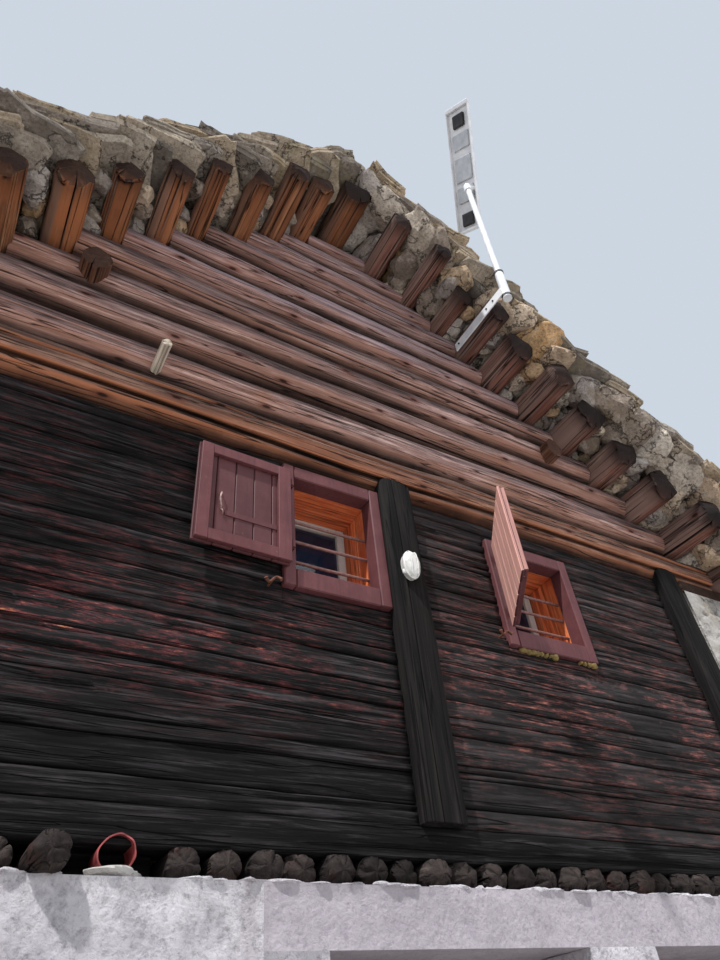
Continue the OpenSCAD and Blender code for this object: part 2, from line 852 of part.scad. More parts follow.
module antenna_panel() {
  color("white")
    on_mast() translate([0, 0, mast_top]) difference() {
      union() {
        translate([0, 0, 15 - socket_len]) cylinder(d = sleeve_d, h = socket_len);
        rotate(panel_turn) {
          rotate([0, 90, 0]) cylinder(d = mast_d, h = neck_len + panel_t / 2);
          translate([neck_len + panel_t / 2, panel_aside, panel_up]) panel_tray();
        }
      }
      translate([0, 0, -2 * socket_len]) cylinder(d = mast_d + 2 * fit, h = 2 * socket_len + fit);
    }
}

ground_floor_slab();
front_base_left();
front_base_pier();
front_base_right();
front_lintel();
left_side_wall();
right_side_wall();
back_base_wall();
side_wall_plates();
floor_poles();
upper_floor_boards();
drain_pipe_stub();
pipe_bed_stone();
front_sill_beam();
front_planks_left();
front_planks_right();
front_centre_post();
front_corner_posts();
front_inner_lining();
front_gable_logs();
cross_beam_ends();
wooden_peg();
back_sill_beam();
back_planks();
back_posts();
back_gable_logs();
window_frames();
window_reveals();
window_sashes();
window_panes();
left_shutter();
right_shutter();
shutter_holdbacks();
purlins_left();
purlins_right();
ridge_purlin();
roof_slabs_left();
roof_slabs_right();
ridge_slabs();
wall_lamp();
antenna_bracket();
antenna_mast();
antenna_panel();
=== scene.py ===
# Alpine log chalet: rendered base, dark hewn storey, stepped log gable and stone slab roof.
# Everything is in metres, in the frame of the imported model: X along the gable front, Y into the
# house, Z up, origin on the ground under the ridge.
import itertools
import math
import bpy
import numpy as np
from mathutils import Matrix


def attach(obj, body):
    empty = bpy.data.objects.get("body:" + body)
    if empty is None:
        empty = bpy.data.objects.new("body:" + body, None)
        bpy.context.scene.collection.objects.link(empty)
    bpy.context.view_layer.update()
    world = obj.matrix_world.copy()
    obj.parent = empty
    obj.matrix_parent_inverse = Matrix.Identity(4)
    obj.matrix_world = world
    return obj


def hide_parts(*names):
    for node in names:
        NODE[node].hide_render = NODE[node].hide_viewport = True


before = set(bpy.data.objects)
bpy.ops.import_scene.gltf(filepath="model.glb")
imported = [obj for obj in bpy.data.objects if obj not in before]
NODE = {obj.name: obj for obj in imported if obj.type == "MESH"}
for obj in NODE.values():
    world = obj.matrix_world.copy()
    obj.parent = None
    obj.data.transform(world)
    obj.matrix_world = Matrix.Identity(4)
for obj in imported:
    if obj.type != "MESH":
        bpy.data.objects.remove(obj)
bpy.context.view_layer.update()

# Sizes shared with the construction model
FRONT_Y = -3.0
BASE_Y = -3.06
HALF_W = 2.31
OUTER_X = 2.83
BASE_H = 2.028
WALL_T = 0.5
POLE_H, POLE_COUNT = 0.09, 37
POLE_STEP = 2 * HALF_W / POLE_COUNT
SILL_TOP = 2.228
GABLE_Z = 3.79
HEWN_T, COURSES = 0.14, 18
LINING_Y = -2.7
POST_W, POST_PROUD, POST_TOP = 0.185, 0.055, 3.878
CENTRE_POST_X = 0.087
DOOR_X = (-0.323, 0.695, 1.023, 2.041)
DOOR_H = 1.86
LINTEL_X = (-0.526, 2.244)
# Windows as left, bottom, width and height
LEFT_WINDOW = (-0.43, 3.092, 0.517, 0.67)
RIGHT_WINDOW = (0.739, 3.05, 0.568, 0.625)
FRAME_SIDE, FRAME_TOP, FRAME_BOTTOM = 0.055, 0.072, 0.09
FRAME_PROUD, FRAME_DEPTH = 0.025, 0.085
REVEAL_STEP = 0.008
SASH_W, SASH_T = 0.042, 0.045
SHUTTER_T, SHUTTER_LAP, SHUTTER_RAIL = 0.034, 0.02, 0.06
HINGE_SIDE = 0.013
PITCH = math.radians(40.6)
PURLIN_OVERHANG = 0.42
VERGE_Y = -3.54
ROOF_T = 0.215
FOOT_LOG_H, LOG_H, LOG_TAPER = 0.27, 0.232, 0.005
LOG_AXIS_Y = FRONT_Y + 0.065
LOG_SEAT = 0.075
LOG_FALL = math.radians(4)
LAST_LOG = 9
SOOTY_LOGS = 4
LOG_GAP = 0.0008

SIN, COS = math.sin(PITCH), math.cos(PITCH)
PURLIN_R = 0.1
ROOF_C = (OUTER_X - 0.05) * SIN + (GABLE_Z + PURLIN_R) * COS + PURLIN_R
ROOF_APEX = ROOF_C / COS
RIDGE_R = 0.1075
RIDGE_SEAT = ROOF_APEX - RIDGE_R * (1 + 1 / COS)
SLOPE_LEN = (OUTER_X + 0.4) / COS
SLAB_ROWS, SLAB_COUNT = 14, 12
SLAB_STEP, SLAB_PLAY = 0.055, 0.034
SLAB_ROW, SLAB_W = SLOPE_LEN / SLAB_ROWS, -2 * VERGE_Y / SLAB_COUNT
# Girth and reach of each purlin, from the foot log's up, by side
GIRTH = {-1: (1, 1.02, 1, 0.92, 0.9, 0.76, 0.74, 0.6, 0.72, 0.74, 0.78),
         1: (1, 1.04, 1.07, 1.06, 1.07, 1.04, 1.08, 0.92, 0.72, 0.66, 0.78)}
REACH = {-1: (1, 1, 1, 1, 0.91, 0.95, 1.02, 1.1, 1.03, 1.17, 1),
         1: (1, 1, 0.8, 0.78, 0.88, 1.04, 0.93, 1.1, 0.85, 1.17, 1.1)}


def log_bottom(k):
    if k < 0:
        return GABLE_Z
    return GABLE_Z + FOOT_LOG_H + k * LOG_H - LOG_TAPER * k * (k - 1) / 2


def log_top(k):
    return RIDGE_SEAT if k == LAST_LOG else log_bottom(k + 1)


def fall(k):
    """Slope of the joint under log k: each joint falls to the right a little more than the one below."""
    return 0.0 if k > LAST_LOG else LOG_FALL * (k + 1) / (LAST_LOG + 1)


def under(k, x):
    return log_bottom(k) - x * math.tan(fall(k))


def over(k, x):
    return log_top(k) - x * math.tan(fall(k + 1))


def seat_r(k, side):
    return PURLIN_R * GIRTH[side][k + 1]


def seat_x(k, side):
    """Place of purlin k across the house, negative on the left."""
    r = seat_r(k, side)
    foot = log_bottom(k) + r / math.cos(fall(k))
    return (ROOF_C - r - foot * COS) / (side * SIN - math.tan(fall(k)) * COS)


def seat_z(k, side):
    return under(k, seat_x(k, side)) + seat_r(k, side) / math.cos(fall(k))


# Noise
def value_noise(p, seed):
    """Smooth noise in -1..1 at the points p, whose last axis holds x, y and z."""
    p = np.asarray(p, float)
    cell = np.floor(p).astype(np.int64)
    f = p - cell
    f = f * f * (3 - 2 * f)
    total = 0.0
    for corner in itertools.product((0, 1), repeat=3):
        # A hash of the corner's cell gives its height
        h = ((cell[..., 0] + corner[0]) * 374761393 + (cell[..., 1] + corner[1]) * 668265263
             + (cell[..., 2] + corner[2]) * 1440662683 + seed * 1274126177)
        h = (h ^ (h >> 13)) * 1103515245
        h = (h ^ (h >> 16)) & 0xFFFF
        weight = math.prod(np.where(far, f[..., i], 1 - f[..., i]) for i, far in enumerate(corner))
        total = total + weight * (h / 32767.5 - 1)
    return total


def fractal(p, octaves, seed):
    """Noise of several scales, each twice as fine and half as strong as the last."""
    p = np.asarray(p, float)
    total, size = 0.0, 1.0
    for i in range(octaves):
        total = total + size * value_noise(p, seed + i * 17)
        p = p * 2.03
        size *= 0.5
    return total


def wave(s, seed, scale):
    """One-dimensional noise along s."""
    s = np.asarray(s, float) * scale
    return value_noise(np.stack([s, np.full_like(s, seed * 3.7), np.zeros_like(s)], -1), seed)


def smooth(lo, hi, x):
    t = np.clip((x - lo) / (hi - lo), 0, 1)
    return t * t * (3 - 2 * t)


# Meshes
class Soup:
    """Collects pieces that become one mesh."""

    def __init__(self):
        self.verts, self.faces, self.tone, self.burn, self.count = [], [], [], [], 0

    def put(self, verts, faces, tone=0.0, burn=0.0):
        """Takes a piece as it is; faces holds arrays of equal-sided polygons."""
        self.faces += [f + self.count for f in faces]
        self.verts.append(verts)
        for layer, values in ((self.tone, tone), (self.burn, burn)):
            layer.append(np.broadcast_to(values, len(verts)).astype(float))
        self.count += len(verts)

    def add(self, verts, faces, tone=0.0, burn=0.0):
        """Takes a closed piece and turns its faces outwards."""
        verts = np.asarray(verts, float).reshape(-1, 3)
        volume = 0.0
        mid = verts.mean(0)
        for f in faces:
            a = verts[f[:, 0]] - mid
            for i in range(1, f.shape[1] - 1):
                volume += np.einsum("ij,ij->", a, np.cross(verts[f[:, i]] - mid, verts[f[:, i + 1]] - mid))
        self.put(verts, [f[:, ::-1] for f in faces] if volume < 0 else faces, tone, burn)

    def mirror(self):
        """Makes back pieces of front ones."""
        self.verts = [v * (1, -1, 1) for v in self.verts]
        self.faces = [f[:, ::-1] for f in self.faces]

    def build(self, name, material, replaces=(), slot=None, sharp=None):
        """Makes the object; sharp is the least angle in degrees of an edge that shows hard."""
        mesh = bpy.data.meshes.new(name)
        verts = np.concatenate(self.verts)
        sizes = np.concatenate([np.full(len(f), f.shape[1]) for f in self.faces])
        loops = np.concatenate([f.ravel() for f in self.faces])
        mesh.vertices.add(len(verts))
        mesh.vertices.foreach_set("co", verts.ravel())
        mesh.loops.add(len(loops))
        mesh.loops.foreach_set("vertex_index", loops)
        mesh.polygons.add(len(sizes))
        mesh.polygons.foreach_set("loop_start", np.concatenate([[0], np.cumsum(sizes)[:-1]]))
        mesh.polygons.foreach_set("use_smooth", np.ones(len(sizes), bool))
        mesh.update(calc_edges=True)
        mesh.validate()
        for label, values in (("tone", self.tone), ("burn", self.burn)):
            layer = mesh.attributes.new(label, "FLOAT", "POINT")
            layer.data.foreach_set("value", np.concatenate(values))
        if sharp:
            mesh.set_sharp_from_angle(angle=math.radians(sharp))
        mesh.materials.append(material)
        obj = link(name, mesh)
        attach(obj, "root")
        if replaces:
            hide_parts(*replaces)


def ring_faces(n, m):
    """Quads of n rings with m points each."""
    i = np.arange(n - 1)[:, None] * m
    j = np.arange(m)[None, :]
    k = (j + 1) % m
    return np.stack([i + j, i + k, i + m + k, i + m + j], -1).reshape(-1, 4)


def bar_faces(n, m):
    """Rings and a flat face over each end."""
    ring = np.arange(m)
    return [ring_faces(n, m), np.stack([ring[::-1], ring + (n - 1) * m])]


def tipped_faces(n, m):
    """Rings and a fan at each end, to the two points that follow the rings."""
    j = np.arange(m)
    k = (j + 1) % m
    tip, last = np.full(m, n * m), (n - 1) * m
    return [ring_faces(n, m), np.stack([tip, k, j], -1), np.stack([tip + 1, last + j, last + k], -1)]


def sleeve_faces(m):
    """Four rings that close upon themselves."""
    j = np.arange(m)
    k = (j + 1) % m
    return [ring_faces(4, m), np.stack([3 * m + j, 3 * m + k, k, j], -1)]


def circle(count):
    """Angles all the way round."""
    return np.linspace(0, 2 * math.pi, count, endpoint=False)


def place(axis, s, a, b):
    """Points with s along the axis and a, b across it, in X, Y, Z order."""
    order = {"x": (s, a, b), "y": (a, s, b), "z": (a, b, s)}[axis]
    return np.stack(np.broadcast_arrays(*order), -1)


def ring_angles(count, cracks, width):
    """Angles round a timber and, for each, which crack it lies in (-1 for none) and how deep (1 for its bed)."""
    pairs = [(u, -1, 0.0) for u in circle(count)]
    for i, c in enumerate(cracks):
        c = c % (2 * math.pi)
        pairs = [p for p in pairs if abs((p[0] - c + math.pi) % (2 * math.pi) - math.pi) > width]
        pairs += [((c + offset * width) % (2 * math.pi), i, deep)
                  for offset, deep in ((-0.85, 0.0), (-0.7, 0.6), (0, 1.0), (0.7, 0.6), (0.85, 0.0))]
    pairs.sort()
    return tuple(np.array([p[i] for p in pairs]) for i in range(3))


def timber(soup, axis, span, centre, outline, seed, step=0.05, columns=36, cracks=(), crack=(0.06, 0.014, 0),
           wobble=0.005, grain=0.0012, sag=0.006, clip=None, ends=(None, None), tone=0.0, char=(0.0, 0.0),
           joint=0.0):
    """Long round or hewn timber. outline gives the radius at an angle. cracks are the angles of cracks, and
    crack holds their half width, depth and least open share; the crack beds are darkened. clip holds the lowest
    and highest a and b. ends give how far the end surface lies inside the end plane at (a, b). char burns the
    ends, and joint paints shade along the clipped edges, where the logs meet. The values of centre and clip
    may be functions of the way along the timber."""
    angles, beds, depths = ring_angles(columns, cracks, crack[0])
    s0, s1 = span
    close = np.array([0.004, 0.015, 0.035, 0.07, 0.11])
    s = np.concatenate([[s0], s0 + close, np.arange(s0 + 0.16, s1 - 0.16, step), s1 - close[::-1], [s1]])
    n, m = len(s), len(angles)

    def along_s(value):
        return value(s)[:, None] if callable(value) else np.full((n, 1), value)

    around = angles[None, :] + 0.12 * wave(s, seed, 0.9)[:, None]
    radius = outline(around) * np.ones((n, 1))
    spot = np.stack([np.broadcast_to(s[:, None], (n, m)), 1.5 * np.cos(around), 1.5 * np.sin(around)], -1)
    radius += wobble * fractal(spot * (1.6, 1, 1), 2, seed + 1)
    radius += grain * fractal(spot * (5, 9, 9), 2, seed + 2)
    dark_cracks_and_joint_shade = np.zeros((n, m))
    for c in range(len(cracks)):
        open_part = np.maximum(smooth(-0.25, 0.35, wave(s, seed + 31 + c, 0.8)), crack[2])[:, None]
        inside = beds == c
        radius[:, inside] -= crack[1] * open_part * depths[inside]
        dark_cracks_and_joint_shade[:, inside] = open_part * (depths[inside] > 0)
    mid_a, mid_b = along_s(centre[0]), along_s(centre[1])
    a = mid_a + sag * wave(s, seed + 5, 0.5)[:, None] + radius * np.cos(around)
    b = mid_b + sag * wave(s, seed + 6, 0.5)[:, None] + radius * np.sin(around)
    if clip:
        low_a, high_a, low_b, high_b = (along_s(c) for c in clip)
        a, b = np.clip(a, low_a, high_a), np.clip(b, low_b, high_b)
        # Painted shade: darker near the clipped edges where the logs meet, as well as in the crack beds above
        dark_cracks_and_joint_shade = np.maximum(dark_cracks_and_joint_shade, joint * smooth(0.045, 0.008, np.minimum(b - low_b, high_b - b)))
    along = np.broadcast_to(s[:, None], (n, m)).copy()
    if ends[0]:
        along = np.maximum(along, s0 + ends[0](a - mid_a, b - mid_b))
    if ends[1]:
        along = np.minimum(along, s1 - ends[1](a - mid_a, b - mid_b))
    layers = [[along], [a], [b]]
    for end, sign in ((0, -1), (-1, 1)):
        rings = []
        at_a, at_b = mid_a[end, 0], mid_b[end, 0]
        for share in (0.8, 0.55, 0.25):
            ra = at_a + (a[end] - at_a) * share
            rb = at_b + (b[end] - at_b) * share
            rough = 0.0025 * fractal(np.stack([ra * 60, rb * 60, ra * 0 + seed], -1), 2, seed + 3)
            rs = span[end] + rough
            if ends[end]:
                rs = rs - sign * ends[end](ra - at_a, rb - at_b)
            rings.append((rs, ra, rb))
        rings = rings[::-1] if end == 0 else rings
        for layer, part in zip(layers, zip(*rings)):
            layer.insert(0 if end == 0 else len(layer), np.stack(part))
    along, a, b = (np.concatenate(layer) for layer in layers)
    tips = [place(axis, *(np.array([q]) for q in (along[end].mean(), mid_a[end, 0], mid_b[end, 0])))
            for end in (0, -1)]
    burn = np.maximum(char[0] * smooth(0.16, 0.02, along - s0), char[1] * smooth(0.16, 0.02, s1 - along))
    burn = np.maximum(burn, np.pad(dark_cracks_and_joint_shade, ((3, 3), (0, 0)), "edge"))
    soup.add(np.concatenate([place(axis, along, a, b).reshape(-1, 3)] + tips), tipped_faces(len(a), m), tone,
             np.concatenate([burn.ravel(), char]))


def round_outline(radius, oval, turn):
    return lambda t: radius * (1 + oval * np.cos(2 * (t - turn)))


def hewn_outline(radius, flats):
    """Round section cut back by flats given as (angle, share of the radius)."""
    def shape(t):
        r = np.full_like(t, radius)
        for angle, share in flats:
            c = np.cos(t - angle)
            r = np.where(c > 0.05, np.minimum(r, radius * share / np.maximum(c, 0.05)), r)
        return r
    return shape


def box_outline(half_a, half_b, corner):
    """Rectangle with softened corners, seen from its centre."""
    def shape(t):
        c, s = np.abs(np.cos(t)) + 1e-6, np.abs(np.sin(t)) + 1e-6
        p = 2 / corner
        return ((c / half_a) ** p + (s / half_b) ** p) ** (-1 / p)
    return shape


def facets(seed, reach):
    """Axe-cut end: a few sloping faces that meet near the middle."""
    rng = np.random.default_rng(seed)
    turn = rng.uniform(0, 2 * math.pi)
    planes = [(turn + i * 2 * math.pi / 3 + rng.uniform(-0.5, 0.5), rng.uniform(0.4, 1) * reach)
              for i in range(3)]
    planes.append((-math.pi / 2 + rng.uniform(-0.3, 0.3), reach * 1.3))

    def surface(a, b):
        depth = np.zeros_like(a)
        for angle, slope in planes:
            out = a * math.cos(angle) + b * math.sin(angle) - 0.024
            depth = np.maximum(depth, slope * out / 0.1)
        return depth
    return surface


def slab(soup, rng, size, turn, centre, layers, rough):
    """Split stone with a broken outline and a layered rim. size is length, width and thickness; turn is a
    3 by 3 matrix, centre its place."""
    length, width, thick = size
    corners = []
    for qx, qy in ((1, 1), (-1, 1), (-1, -1), (1, -1)):
        cut = rng.uniform(0.05, 0.34, 2)
        pair = [(qx, qy * (1 - cut[0])), (qx * (1 - cut[1]), qy)]
        corners += pair if qx * qy > 0 else pair[::-1]
    corners = np.array(corners)
    after = np.roll(corners, -1, 0)
    rim = np.stack([corners, corners * 0.66 + after * 0.34, corners * 0.34 + after * 0.66], 1).reshape(-1, 2)
    rim = rim * (1 + rng.uniform(-0.05, 0.03, (len(rim), 1)))
    beds = np.sort(np.concatenate([[-0.5, 0.5], np.linspace(-0.5, 0.5, layers + 1)[1:-1]
                                   + rng.uniform(-0.08, 0.08, layers - 1)]))
    # Share of the outline, level and shift of each ring
    rings = [(0.5, -0.5, (0, 0))]
    for low, high in zip(beds[:-1], beds[1:]):
        share, shift = rng.uniform(0.9, 1.0), rng.uniform(-0.035, 0.035, 2)
        rings += [(share * rng.uniform(0.965, 1.0), low + 0.02, shift), (share, high - 0.02, shift)]
    rings.append((0.5, 0.5, (0, 0)))
    points = [np.column_stack([0.5 * length * (rim[:, 0] * s + d[0]), 0.5 * width * (rim[:, 1] * s + d[1]),
                               np.full(len(rim), thick * z)]) for s, z, d in rings]
    points = np.concatenate(points + [[[0, 0, -0.5 * thick], [0, 0, 0.5 * thick]]])
    offset = rng.uniform(0, 90, 3)
    points[:, 2] += rough * thick * 0.4 * fractal(points * (4, 4, 0) + offset, 2, 3)
    points[:, :2] += rough * 0.012 * np.stack([fractal(points * 14 + offset + 31 * i, 2, i) for i in (0, 1)], -1)
    soup.add(points @ turn.T + centre, tipped_faces(len(rings), len(rim)), rng.uniform(0, 1))


def boulder(soup, rng, size, turn, centre, around=26, tone=None):
    """Broken field stone: flats at all angles, with an uneven skin."""
    u = circle(around)
    v = np.linspace(-1.35, 1.35, around // 2)
    ring = np.array([(math.cos(q) * math.cos(p), math.cos(q) * math.sin(p), math.sin(q)) for q in v for p in u])
    ring = np.concatenate([ring, [(0, 0, -1), (0, 0, 1)]])
    reach = np.full(len(ring), 1.22)
    flats = rng.normal(size=(15, 3))
    flats /= np.linalg.norm(flats, axis=1)[:, None]
    for flat in flats:
        reach = np.minimum(reach, rng.uniform(0.64, 0.98) / np.maximum(ring @ flat, 0.05))
    offset = rng.uniform(0, 90, 3)
    seams = smooth(0.55, 0.0, np.abs(value_noise(ring * 2.1 + offset, 8)) * 6)
    skin = 0.06 * fractal(ring * 2.4 + offset, 4, 4) - 0.05 * seams
    points = ring * (reach * (1 + skin))[:, None]
    soup.add(points * 0.5 * np.array(size) @ turn.T + centre, tipped_faces(len(v), len(u)),
             rng.uniform(0, 1) if tone is None else tone)


def rotation(x=0.0, y=0.0, z=0.0):
    return np.array(Matrix.Rotation(z, 3, "Z") @ Matrix.Rotation(y, 3, "Y") @ Matrix.Rotation(x, 3, "X"))


def brick(soup, low, high, soften=0.003, tone=0.0, turn=None, pivot=None, bow=0.0, seed=0):
    """Board or bar with eased edges, between two corners, turned about a pivot if asked."""
    low, high = np.array(low, float), np.array(high, float)
    size = high - low
    long = int(np.argmax(size))
    across = [i for i in range(3) if i != long]
    half = size[across] / 2
    mid = ((low + high) / 2)[across]
    e = min(soften, half.min() * 0.6)
    ring = []
    for sa, sb in ((1, -1), (1, 1), (-1, 1), (-1, -1)):
        pair = [(sa * half[0], sb * (half[1] - e)), (sa * (half[0] - e), sb * half[1])]
        ring += pair if sa * sb > 0 else pair[::-1]
    ring = np.array(ring)
    ring = ring[np.argsort(np.arctan2(ring[:, 1], ring[:, 0]))]
    count = max(3, int(size[long] / 0.06) + 1)
    s = np.concatenate([[low[long]], np.linspace(low[long] + e, high[long] - e, count), [high[long]]])
    rows = []
    for i, value in enumerate(s):
        r = ring - np.sign(ring) * (e if i in (0, len(s) - 1) else 0)
        drift = bow * wave(np.array([value, value + 9]), seed, 2.0)
        rows.append(place("xyz"[long], np.full(8, value), mid[0] + r[:, 0] + drift[0], mid[1] + r[:, 1] + drift[1]))
    verts = np.concatenate(rows)
    if turn is not None:
        verts = (verts - pivot) @ turn.T + pivot
    soup.add(verts, bar_faces(len(s), 8), tone)


def tube(soup, points, radius, sides=10):
    """Bent rod through points."""
    points = np.asarray(points, float)
    path = np.gradient(points, axis=0)
    path /= np.linalg.norm(path, axis=1)[:, None]
    up = np.array([0, 0, 1.0]) if abs(path[0][2]) < 0.9 else np.array([1.0, 0, 0])
    rows = []
    t = circle(sides)[:, None]
    for p, d, r in zip(points, path, np.broadcast_to(radius, len(points))):
        u = np.cross(d, up)
        u /= np.linalg.norm(u)
        v = np.cross(d, u)
        up = -v if np.dot(-v, up) > 0 else v
        rows.append(p + r * (np.cos(t) * u + np.sin(t) * up))
    soup.add(np.concatenate(rows), bar_faces(len(points), sides))


# Materials
def srgb(code):
    """Linear colour of a hexadecimal code."""
    parts = [int(code[i:i + 2], 16) / 255 for i in (0, 2, 4)]
    return tuple(c / 12.92 if c <= 0.04045 else ((c + 0.055) / 1.055) ** 2.4 for c in parts) + (1.0,)


def darker(code, share):
    """Linear colour of a code with only a share of its light."""
    return tuple(share * c for c in srgb(code)[:3]) + (1.0,)


class Shader:
    """Wires a principled material. Colours are hexadecimal codes, and body is the colour so far."""

    def __init__(self, name, roughness, specular):
        self.material = bpy.data.materials.new(name)
        self.material.use_nodes = True
        self.nodes = self.material.node_tree.nodes
        self.main = self.nodes["Principled BSDF"]
        self.main.inputs["Roughness"].default_value = roughness
        self.main.inputs["Specular IOR Level"].default_value = specular
        self.coords = self.new("TexCoord")["Object"]
        self.body = None

    def new(self, kind, inputs=(), **settings):
        """Outputs of a new node whose settings are made and whose inputs are fed."""
        node = self.nodes.new("ShaderNode" + kind)
        for key, value in settings.items():
            setattr(node, key, value)
        for key, value in dict(inputs).items():
            self.feed(node.inputs[key], value)
        return node.outputs

    def feed(self, socket, value):
        if hasattr(value, "is_output"):
            self.material.node_tree.links.new(value, socket)
        else:
            socket.default_value = srgb(value) if isinstance(value, str) else value

    def stretch(self, scale):
        return self.new("Mapping", {"Vector": self.coords, "Scale": scale})["Vector"]

    def noise(self, vector, scale, detail, rough, distort=0.0):
        return self.new("TexNoise", {"Vector": vector, "Scale": scale, "Detail": detail, "Roughness": rough,
                                     "Distortion": distort})["Fac"]

    def cells(self, vector, scale, shape="3D"):
        return self.new("TexVoronoi", {"Vector": vector, "Scale": scale}, voronoi_dimensions=shape)["Distance"]

    def ramp(self, fac, *stops):
        """Values or colours at places between 0 and 1."""
        node = self.nodes.new("ShaderNodeValToRGB")
        self.feed(node.inputs["Fac"], fac)
        ends = node.color_ramp.elements
        while len(ends) < len(stops):
            ends.new(0.5)
        for end, (at, value) in zip(ends, sorted(stops)):
            end.position = at
            end.color = srgb(value) if isinstance(value, str) else (value, value, value, 1)
        return node.outputs["Color"]

    def mix(self, fac, a, b, blend="MIX"):
        return self.new("Mix", {"Factor": fac, 6: a, 7: b}, data_type="RGBA", blend_type=blend)[2]

    def coat(self, colour, field, *stops):
        """Lays a colour over the body where the field, or its ramp, says so."""
        self.body = self.mix(self.ramp(field, *stops) if stops else field, self.body, colour)

    def shade(self, *stops):
        """Darkens or lightens each piece by its tone."""
        self.body = self.mix(1.0, self.body, self.ramp(self.value("tone"), *stops), "MULTIPLY")

    def math(self, kind, a, b=0.0):
        return self.new("Math", {0: a, 1: b}, operation=kind)[0]

    def times(self, a, b):
        return self.math("MULTIPLY", a, b)

    def plus(self, a, b):
        return self.math("ADD", a, b)

    def crease(self, field):
        """Distance of a noise from its middle, which is nought along thin wandering lines."""
        return self.math("ABSOLUTE", self.math("SUBTRACT", field, 0.5))

    def value(self, name):
        return self.new("Attribute", attribute_name=name)["Fac"]

    def split(self, vector):
        return self.new("SeparateXYZ", {0: vector})

    def facing(self, axis):
        return self.split(self.new("NewGeometry")["Normal"])[axis]

    def unrolled(self, axis):
        """Flat coordinates: a little short along the axis, and a sum of the two others that changes all the
        way round the lower outer quarter of a log."""
        parts = self.split(self.coords)
        first, second = [parts[i] for i in range(3) if i != axis]
        round_it = self.plus(self.math("ABSOLUTE", first), self.times(second, 1.5))
        return self.new("CombineXYZ", {0: self.times(parts[axis], 0.6), 1: round_it})[0]

    def finish(self, height, strength, distance):
        """Feeds the bump and the colour."""
        bump = self.new("Bump", {"Strength": strength, "Distance": distance, "Height": height})
        self.feed(self.main.inputs["Normal"], bump["Normal"])
        self.feed(self.main.inputs["Base Color"], self.body)
        return self.material


def wood(name, grain_axis, colours, patch_at=0.54, crack=0.95, rough=0.75, bump=1.0, fine=38.0, top=None,
         under=None, left=None, end=None, knots=0.0, streaks=None):
    """Weathered timber whose grain runs along one axis. top, under, left and end tint the faces that look
    up, down, to the left and along the grain: under paints bounce light and shade on the downward faces, and top
    is partly weathering and partly painted shade on the upper faces. streaks gives (height, strength) of red
    flakes of old wood."""
    s = Shader(name, rough, 0.15)
    dark, mid, light, patch = colours.split()

    def grain(squeeze=0.05):
        return s.stretch(tuple(squeeze if axis in grain_axis else 1 for axis in "xyz"))

    along = grain()
    fibre = s.noise(along, fine, 7, 0.75, 0.4)
    bands = s.noise(along, fine * 0.28, 4, 0.6, 0.6)
    cloud = s.noise(s.coords, 2.3, 6, 0.7)
    s.body = s.ramp(fibre, (0.36, dark), (0.5, mid), (0.66, light))
    s.coat(mid, bands, (0.42, 0.0), (0.7, 0.6))
    if streaks:
        thin = s.noise(grain(0.12), 44, 7, 0.8)
        height = s.times(s.split(s.coords)[2], 0.25)
        band = s.ramp(height, *((z * 0.25, strength) for z, strength in streaks))
        where = s.times(s.ramp(cloud, (0.4, 0.0), (patch_at, 1.0)), band)
        s.coat(patch, s.times(s.ramp(thin, (0.49, 0.0), (0.62, 0.85)), where))
        s.coat("c48054", s.times(s.ramp(thin, (0.6, 0.0), (0.66, 0.9)), s.math("POWER", where, 2.5)))
    else:
        s.coat(patch, cloud, (patch_at - 0.06, 0.0), (patch_at + 0.08, 0.8))
    streaky = s.ramp(bands, (0.3, 0.45), (0.55, 1.0))
    # Facing tints: under paints bounce light and shade, and top is partly weathering and partly painted shade
    for tint, axis, sign, shift in ((top, 2, 1, 0.4), (under, 2, -1, 0), (left, 0, -1, 0)):
        if tint:
            faced = s.plus(s.times(s.facing(axis), sign), shift)
            s.coat(tint, s.times(s.ramp(faced, (0.1, 0.0), (0.6, 0.75)), streaky))
    whole = 1.0
    if end:
        faced = s.math("ABSOLUTE", s.facing("xyz".index(grain_axis)))
        whole = s.ramp(faced, (0.6, 1.0), (0.8, 0.15))
        rings = s.ramp(s.noise(s.coords, 55, 4, 0.7), (0.35, 0.0), (0.65, 1.0))
        s.coat(s.mix(rings, darker(end, 0.45), end), faced, (0.62, 0.0), (0.85, 0.9))
    lines = s.crease(s.noise(grain(0.02), fine * 0.7, 2, 0.5, 0.3))
    cracks = s.times(s.ramp(lines, (0.0, crack), (0.01, crack * 0.6), (0.018, 0.0)), whole)
    s.coat(darker(dark, 0.3), cracks)
    if knots:
        spot = s.cells(s.unrolled("xyz".index(grain_axis)), 2.8, "2D")
        s.coat("623226", spot, (0.04, knots * 0.7), (0.11, 0.0))
        s.coat("22120e", spot, (0.0, knots), (0.026, knots), (0.046, 0.0))
    s.shade((0.0, 0.6), (0.5, 0.95), (1.0, 1.25))
    # Near-black on charred ends, in the crack beds and as painted shade along the log joints
    s.coat("1a1413", s.times(s.value("burn"), s.ramp(cloud, (0.3, 0.75), (0.6, 1.0))))
    return s.finish(s.math("SUBTRACT", s.times(fibre, 0.6), cracks), bump, 0.007)


